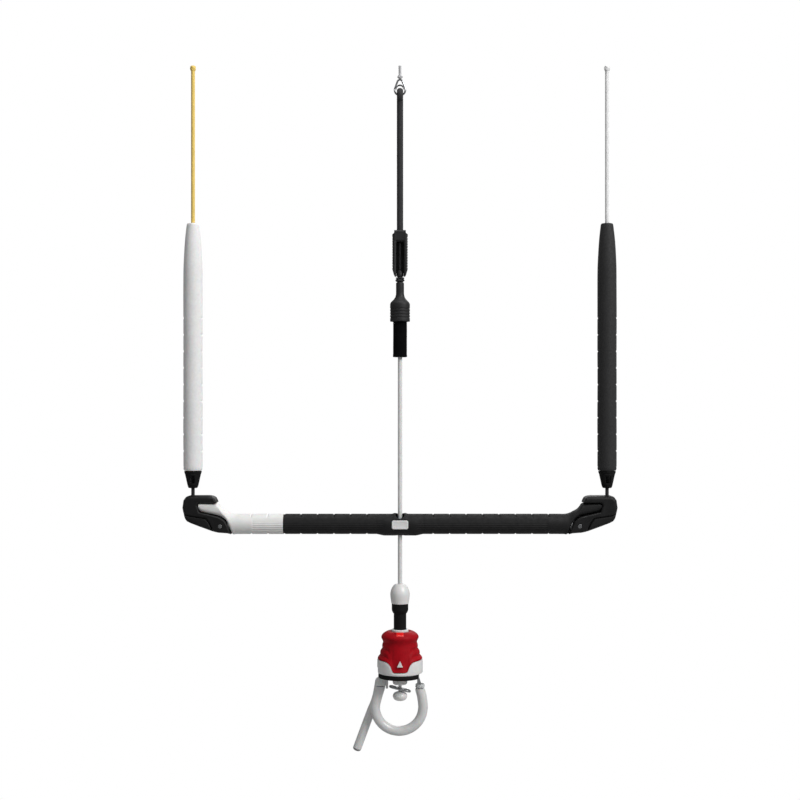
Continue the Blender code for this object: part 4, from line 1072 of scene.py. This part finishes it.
def make_hub():
    """The hub between the grips: a bump over the line's way, a belly under it, and the white badge."""
    sides, rows = 160, 141
    angle = circle(sides)[None, :]
    shell_half = HUB_HALF + 0.25
    x = np.linspace(-shell_half, shell_half, rows)[:, None] + 0 * angle
    side = np.abs(x)
    bump = 0.9 * step_up((9.8 - side) / 3.3)
    belly = 1.85 * step_up((29.0 - side) / 11)
    front = 0.8 * step_up((HUB_HALF - side) / 14)
    radius = GRIP_R + np.where(np.sin(angle) > 0, bump, belly) * np.abs(np.sin(angle)) ** 2 \
        + front * np.cos(angle) ** 2
    rim = step_up((HUB_HALF - side) / 0.5)
    radius = radius - 0.1 * (1 - rim)
    y, z = radius * np.cos(angle), BAR_Z + radius * np.sin(angle)
    calm = 1 - step_up((np.abs(z - BAR_Z) - 5.0) / 3)
    radius = radius + grip_relief(x, y, z) * calm
    rings = np.stack([x, radius * np.cos(angle), BAR_Z + radius * np.sin(angle)], axis=-1)
    hub = skin("hub_shell", rings, "grip_black")
    at = (0, 0, BAR_Z)
    bore_r = TUBE_R + 0.3
    bore = turned("bore_cut", "", [(bore_r, -40), (bore_r, 40)], "steel", axis="X", at=at, fillet=0)
    mouth = [(7.0, -16.0), (6.0, -9.6), (6.7, -9.2), (6.7, 9.2), (5.7, 9.6), (5.9, 16.0)]
    way = turned("way_cut", "", mouth, "steel", at=at, fillet=0.8)
    for vert in way.data.vertices:
        if vert.co.z < (BAR_Z - WAY_LOW) * MM:
            vert.co.y *= WAY_NARROWS
    scallop = recess_cutter("recess_cut")
    badge_low, badge_high = span("hub_badge")
    centre = middle("hub_badge")
    half_u, half_v = (badge_high[0] - badge_low[0]) / 2, (badge_high[2] - badge_low[2]) / 2
    pocket = rounded_box_outline(half_u + 0.5, half_v + 0.5, 2.4, centre=(centre[0], centre[2]))
    back = badge_high[1]
    cut(hub, bore, way, scallop, plate("pocket_cut", pocket, -16, back + 0.3, "steel", rim=0))
    show(hub, "hub_body")

    rows = []
    for shrink, y in ((0.0, back), (0.0, badge_low[1] + 0.5), (0.12, badge_low[1] + 0.22),
                      (0.35, badge_low[1] + 0.05), (0.7, badge_low[1] - 0.02), (1.5, badge_low[1] - 0.02),
                      (1.75, badge_low[1] + 0.12), (2.1, badge_low[1] + 0.18)):
        outline = rounded_box_outline(half_u - shrink, half_v - shrink, max(0.6, 2.2 - shrink), steps=10,
                                      centre=(centre[0], centre[2]))
        rows.append([(u, y, v) for u, v in outline])
    show(skin("badge_plate", np.array(rows), "white_shell", smooth_angle=50), "hub_badge")


def make_hub_inside():
    """The tube, the line's ball ring and its seat."""
    at = (0, 0, BAR_Z)
    half = float(span("core_tube")[1][0])
    tube = [(7.5, -half, 0.2), (TUBE_R, -half, 0.3), (TUBE_R, half, 0.3), (7.5, half, 0.2)]
    pipe = turned("bar_tube", "", tube, "aluminium", loop=True, axis="X", at=at)
    cross = turned("cross_cut", "", [(6.7, -12), (6.7, 12)], "steel", at=at, fillet=0, sides=64)
    show(cut(pipe, cross, recess_cutter("tube_recess_cut")), "core_tube")
    ball_r, way_r = 4.6, 2.9
    tilt = np.radians(np.linspace(-40, 40, 17))
    ring = [(way_r, -3.0, 0.3), *[(ball_r * math.cos(a), ball_r * math.sin(a), 0) for a in tilt],
            (way_r, 3.0, 0.3)]
    turned("guide_ball", "line_guide_ring", ring, "steel", loop=True, at=at)
    seat_r = 4.9
    seat_low, seat_high = (span("hub_seat")[k][2] - BAR_Z for k in (0, 1))
    tilt = np.radians(np.linspace(-30, 30, 13))
    seat = [(6.4, seat_high, 0.4), (6.4, seat_low, 0.4), (4.95, seat_low, 0.3),
            *[(seat_r * math.cos(a), seat_r * math.sin(a), 0) for a in tilt], (4.95, seat_high, 0.3)]
    turned("guide_seat", "hub_seat", seat, "rubber_black", loop=True, at=at)


# The right end's outer edges, (x, z), along which its frame and its pod are rounded; the left mirrors them.
FRAME_RIM = [(224.8, -516.5), (229.0, -515.9), (251.5, -515.9), (255.6, -517.1), (258.7, -521.2),
             (260.0, -530.3), (258.7, -536.6)]
FRAME_FOOT = [(222.8, -558.8), (217.0, -560.0), (206.0, -560.8), (201.7, -561.9)]
POD_RIM = [(258.5, -537.1), (258.0, -539.5), (256.9, -543.2), (254.6, -546.4), (250.0, -548.7), (239.8, -552.6),
           (223.3, -558.6)]
END_HALF_DEPTH = 12.4


def distance_to(points, x, z):
    """How far each (x, z) is from a polyline."""
    best = np.full(x.shape, 1e9)
    for (x0, z0), (x1, z1) in zip(points, points[1:]):
        dx, dz = x1 - x0, z1 - z0
        t = np.clip(((x - x0) * dx + (z - z0) * dz) / (dx * dx + dz * dz), 0, 1)
        best = np.minimum(best, np.hypot(x - x0 - t * dx, z - z0 - t * dz))
    return best


def crowned(rims, side, radius):
    """A shape for softened(): long round shoulders along rims, and a slightly domed face."""
    def shape(co):
        x, y, z = co.T
        near = np.full(x.shape, 1e9)
        for rim in rims:
            near = np.minimum(near, distance_to(mirror(rim, side), x, z))
        inside = np.clip(near, 0, radius)
        drop = radius - np.sqrt(np.maximum(radius ** 2 - (radius - inside) ** 2, 0))
        return np.stack([x, y * (1 - drop / END_HALF_DEPTH), z], axis=-1)
    return shape


def make_bar_end(label, side):
    """Hard frame, rubber pod, and the plug, screw and nut that hold them."""
    softened(label + "_frame_shell", label + "_end_frame", 0.4, 2, "satin_black",
             crowned((FRAME_RIM, FRAME_FOOT), side, 4.6))
    softened(label + "_pod_shell", label + "_end_pod", 0.4, 2, "pod_rubber", crowned((POD_RIM,), side, 4.4))

    at = middle(label + "_tube_plug")
    half = (span(label + "_tube_plug")[1] - span(label + "_tube_plug")[0])[0] / 2
    plug_r = 7.2
    plug = [(0.01, -half, 0), (plug_r, -half, 0.6), (plug_r, half, 0.6), (0.01, half, 0)]
    turned(label + "_plug_turned", label + "_tube_plug", plug, "satin_black", axis="X", at=at)

    x, _, z = middle(label + "_end_screw")
    low, high = span(label + "_end_screw")
    head_r, face = float(high[0] - low[0]) / 2, low[1]
    screw = [(0.01, face, 0), (head_r - 0.3, face, 0.35), (head_r, face + 0.4, 0.3), (head_r, face + 1.4, 0.2),
             (1.6, face + 1.4, 0.1), (1.6, high[1], 0.2), (0.01, high[1], 0)]
    head = turned(label + "_screw_blank", "", screw, "steel", axis="Y", at=(x, 0, z), sides=64)
    head.name = label + "_cap_screw"
    socket = turned("socket_cut", "", [(1.75, face - 1), (1.75, face + 1.1)], "steel", axis="Y", at=(x, 0, z),
                    sides=6, fillet=0)
    show(cut(head, socket), label + "_end_screw")

    low, high = span(label + "_end_nut")
    nut_r = (high[0] - low[0]) / 2
    corner = circle(48)
    hexagon = nut_r * math.cos(math.pi / 6) / np.cos((corner % (TAU / 6)) - math.pi / 6)
    rows = []
    for limit, y in ((9, low[1]), (9, high[1] - 0.35), (nut_r * 0.93, high[1])):
        outer = np.minimum(hexagon, limit)
        rows.append((outer, y))
    rows += [(2.0, high[1]), (1.7, high[1] - 0.3), (1.7, low[1])]
    rows = [np.stack([x + radius * np.cos(corner), 0 * corner + y, z + radius * np.sin(corner)], axis=-1)
            for radius, y in rows]
    show(skin(label + "_hex_nut", np.array(rows), "steel", loop=True, smooth_angle=25), label + "_end_nut")


# Leaders -----------------------------------------------------------------------------------------

def make_leader(label, side, foam):
    """Pre-line with its stopper knot, the clip cone with its framed window, and the float."""
    x = side * LEADER_X
    at = (x, 0, 0)
    low, high = span(label + "_preline")
    length = high[2] - low[2]
    shape = both(knot_bulge([(4.7, 4.7, 2.2)], 3), end_taper(length, 2.2, 1.0))
    show(rope(label + "_preline_braid", upright(low, high, x), 2.2, "dark_rope", 7, 16.0, 0.38,
              sides=48, step=0.5, bulge=shape), label + "_preline")

    low, high = span(label + "_clip")
    top, bottom = high[2], low[2]
    window_top, window_bottom, window_half = top - 5.7, top - 14.5, 2.8
    cone = [(2.55, top, 0.2), (10.3, top, 0.3), (10.5, top - 0.8, 0.4), (9.3, top - 4.4, 0.8),
            (6.6, top - 16.8, 1.0), (5.7, top - 19.6, 1.0), (4.6, bottom, 0.6), (2.55, bottom, 0.3)]

    def framed(angle, height):
        """A raised lip round the window, on the rider's side and behind."""
        across = 8.0 * np.cos(angle) * np.where(np.abs(np.sin(angle)) > 0.35, 1, 4)
        dx = np.maximum(np.abs(across) - window_half, 0)
        dz = np.maximum(np.maximum(height - window_top, window_bottom - height), 0)
        away = np.hypot(dx, dz)
        return 1.05 * step_up((away + 0.2) / 0.5) * (1 - step_up((away - 2.2) / 0.5))
    clip = turned(label + "_clip_blank", "", cone, "rubber_black", loop=True, sides=144, relief=framed, at=at,
                  step=0.4)
    clip.name = label + "_clip_cone"
    window = plate("window_cut", rounded_box_outline(window_half, (window_top - window_bottom) / 2, 1.2,
                                                     centre=(x, (window_top + window_bottom) / 2)),
                   -14, 14, "steel", rim=0)
    show(cut(clip, window), label + "_clip")

    low, high = span(label + "_float")
    top, bottom, float_r = high[2], low[2], (high[0] - low[0]) / 2
    shell = [(2.75, top - 0.6, 0.3), (3.2, top, 0.3), (6.6, top, 1.2), (7.4, top - 1.4, 1.5),
             (9.0, top - 14.4, 6), (10.0, top - 25.4, 8), (10.8, top - 39.4, 8), (11.3, top - 50.4, 6),
             (float_r, top - 60.4, 6), (float_r, bottom + 2.6, 1.2), (10.6, bottom, 0.8), (2.75, bottom, 0.3)]
    first_notch, pitch, count = top - 113.6, 19.9, 10

    def notched(angle, height):
        """Short side grooves, and the faint unevenness of moulded foam."""
        beside = step_up((np.abs(np.cos(angle)) - 0.86) / 0.1)
        groove = 0 * height
        for k in range(count):
            groove = np.maximum(groove, np.exp(-((height - first_notch + k * pitch) / 0.75) ** 2))
        outside = step_up((height - bottom - 3) / 2)
        uneven = 0.05 * (np.sin(3 * angle + height / 13) + np.sin(2 * angle - height / 21))
        return (-1.0 * groove * beside + uneven) * outside * step_up((top - height) / 3)
    piece = turned(label + "_float_foam", label + "_float", shell, foam, loop=True, sides=112,
                   relief=notched, at=at, step=0.7)


# Stage -------------------------------------------------------------------------------------------

def camera_sees(tree, seen, lit, output):
    """The camera sees one shader; all other light meets the other."""
    nodes, link = tree.nodes, tree.links.new
    ray = nodes.new("ShaderNodeLightPath")
    mix = nodes.new("ShaderNodeMixShader")
    link(ray.outputs["Is Camera Ray"], mix.inputs["Fac"])
    link(lit.outputs[0], mix.inputs[1])
    link(seen.outputs[0], mix.inputs[2])
    link(mix.outputs[0], nodes[output].inputs["Surface"])


def make_stage():
    """A plain white floor, a white surround and soft studio lights, the key from the right and above."""
    floor_z, floor_half = span("finger_cap")[0][2] - 90.0, 6000.0
    stage_material = bpy.data.materials.new("floor_white")
    stage_material.use_nodes = True
    nodes = stage_material.node_tree.nodes
    shader = nodes["Principled BSDF"]
    shader.inputs["Base Color"].default_value = (0.4, 0.4, 0.4, 1.0)
    shader.inputs["Roughness"].default_value = 0.9
    glow = nodes.new("ShaderNodeEmission")
    glow.inputs["Strength"].default_value = 1.0
    camera_sees(stage_material.node_tree, glow, shader, "Material Output")
    FINISH["floor_white"] = stage_material
    corners = [(-floor_half, -floor_half, floor_z), (floor_half, -floor_half, floor_z),
               (floor_half, floor_half, floor_z), (-floor_half, floor_half, floor_z)]
    made("studio_floor", corners, [[0, 1, 2, 3]], "floor_white")

    world = bpy.data.worlds.new("studio")
    bpy.context.scene.world = world
    world.use_nodes = True
    nodes = world.node_tree.nodes
    background = nodes["Background"]
    background.inputs["Strength"].default_value = 0.25
    background.inputs["Color"].default_value = (1, 1, 1, 1)
    seen = nodes.new("ShaderNodeBackground")
    seen.inputs["Strength"].default_value = 1.0
    seen.inputs["Color"].default_value = (1, 1, 1, 1)
    camera_sees(world.node_tree, seen, background, "World Output")

    centre = Vector((0, 0, -0.42))
    lamps = (("key", (1.5, -1.3, 0.9), 0.9, 44.0), ("fill", (-1.6, -1.2, 0.1), 1.2, 1.2),
             ("top", (0.1, -0.2, 1.3), 1.0, 13.0), ("back", (0.4, 1.7, 0.5), 1.2, 10.0))
    for label, spot, size, power in lamps:
        data = bpy.data.lights.new(label + "_light", "AREA")
        data.shape, data.size, data.energy = "SQUARE", size, power
        lamp = bpy.data.objects.new(label + "_light", data)
        lamp.location = spot
        lamp.rotation_euler = (centre - Vector(spot)).to_track_quat("-Z", "Y").to_euler()
        bpy.context.scene.collection.objects.link(lamp)
    bpy.context.scene.view_settings.view_transform = "Standard"


def finish_cad_nodes():
    """Gives the nodes that stay a finish of their own."""
    finishes = {"swivel_nut": "steel", "loop_hinge_pin": "steel"}
    for node, finish in finishes.items():
        frame["nodes"][node].data.materials.clear()
        frame["nodes"][node].data.materials.append(FINISH[finish])


make_materials()
make_camera()
make_leader_line("left", -1, "yellow_line")
make_leader_line("right", 1, "white_line")
make_front_line()
make_shackle()
make_trim_rope()
make_cleat()
make_boot()
make_depower_line()
make_swivel()
make_spring()
make_sleeve()
make_base()
make_leash_plate()
make_loop()
make_finger()
make_hub()
make_hub_inside()
white_low = -float(span("left_grip_white")[1][0])
black_far = -float(span("left_grip_black")[0][0])
black_near = -float(span("left_grip_black")[1][0])
make_grip("left_grip_inner", "left_grip_black", "grip_black", -1, black_near, black_far, False)
make_grip("left_grip_outer", "left_grip_white", "grip_white", -1, white_low, 0, True)
right_near = float(span("right_grip_black")[0][0])
make_grip("right_grip_outer", "right_grip_black", "grip_black", 1, right_near, 0, True)
for end_label, end_side in (("left", -1), ("right", 1)):
    make_bar_end(end_label, end_side)
make_leader("left", -1, "foam_white")
make_leader("right", 1, "foam_black")
finish_cad_nodes()
make_stage()
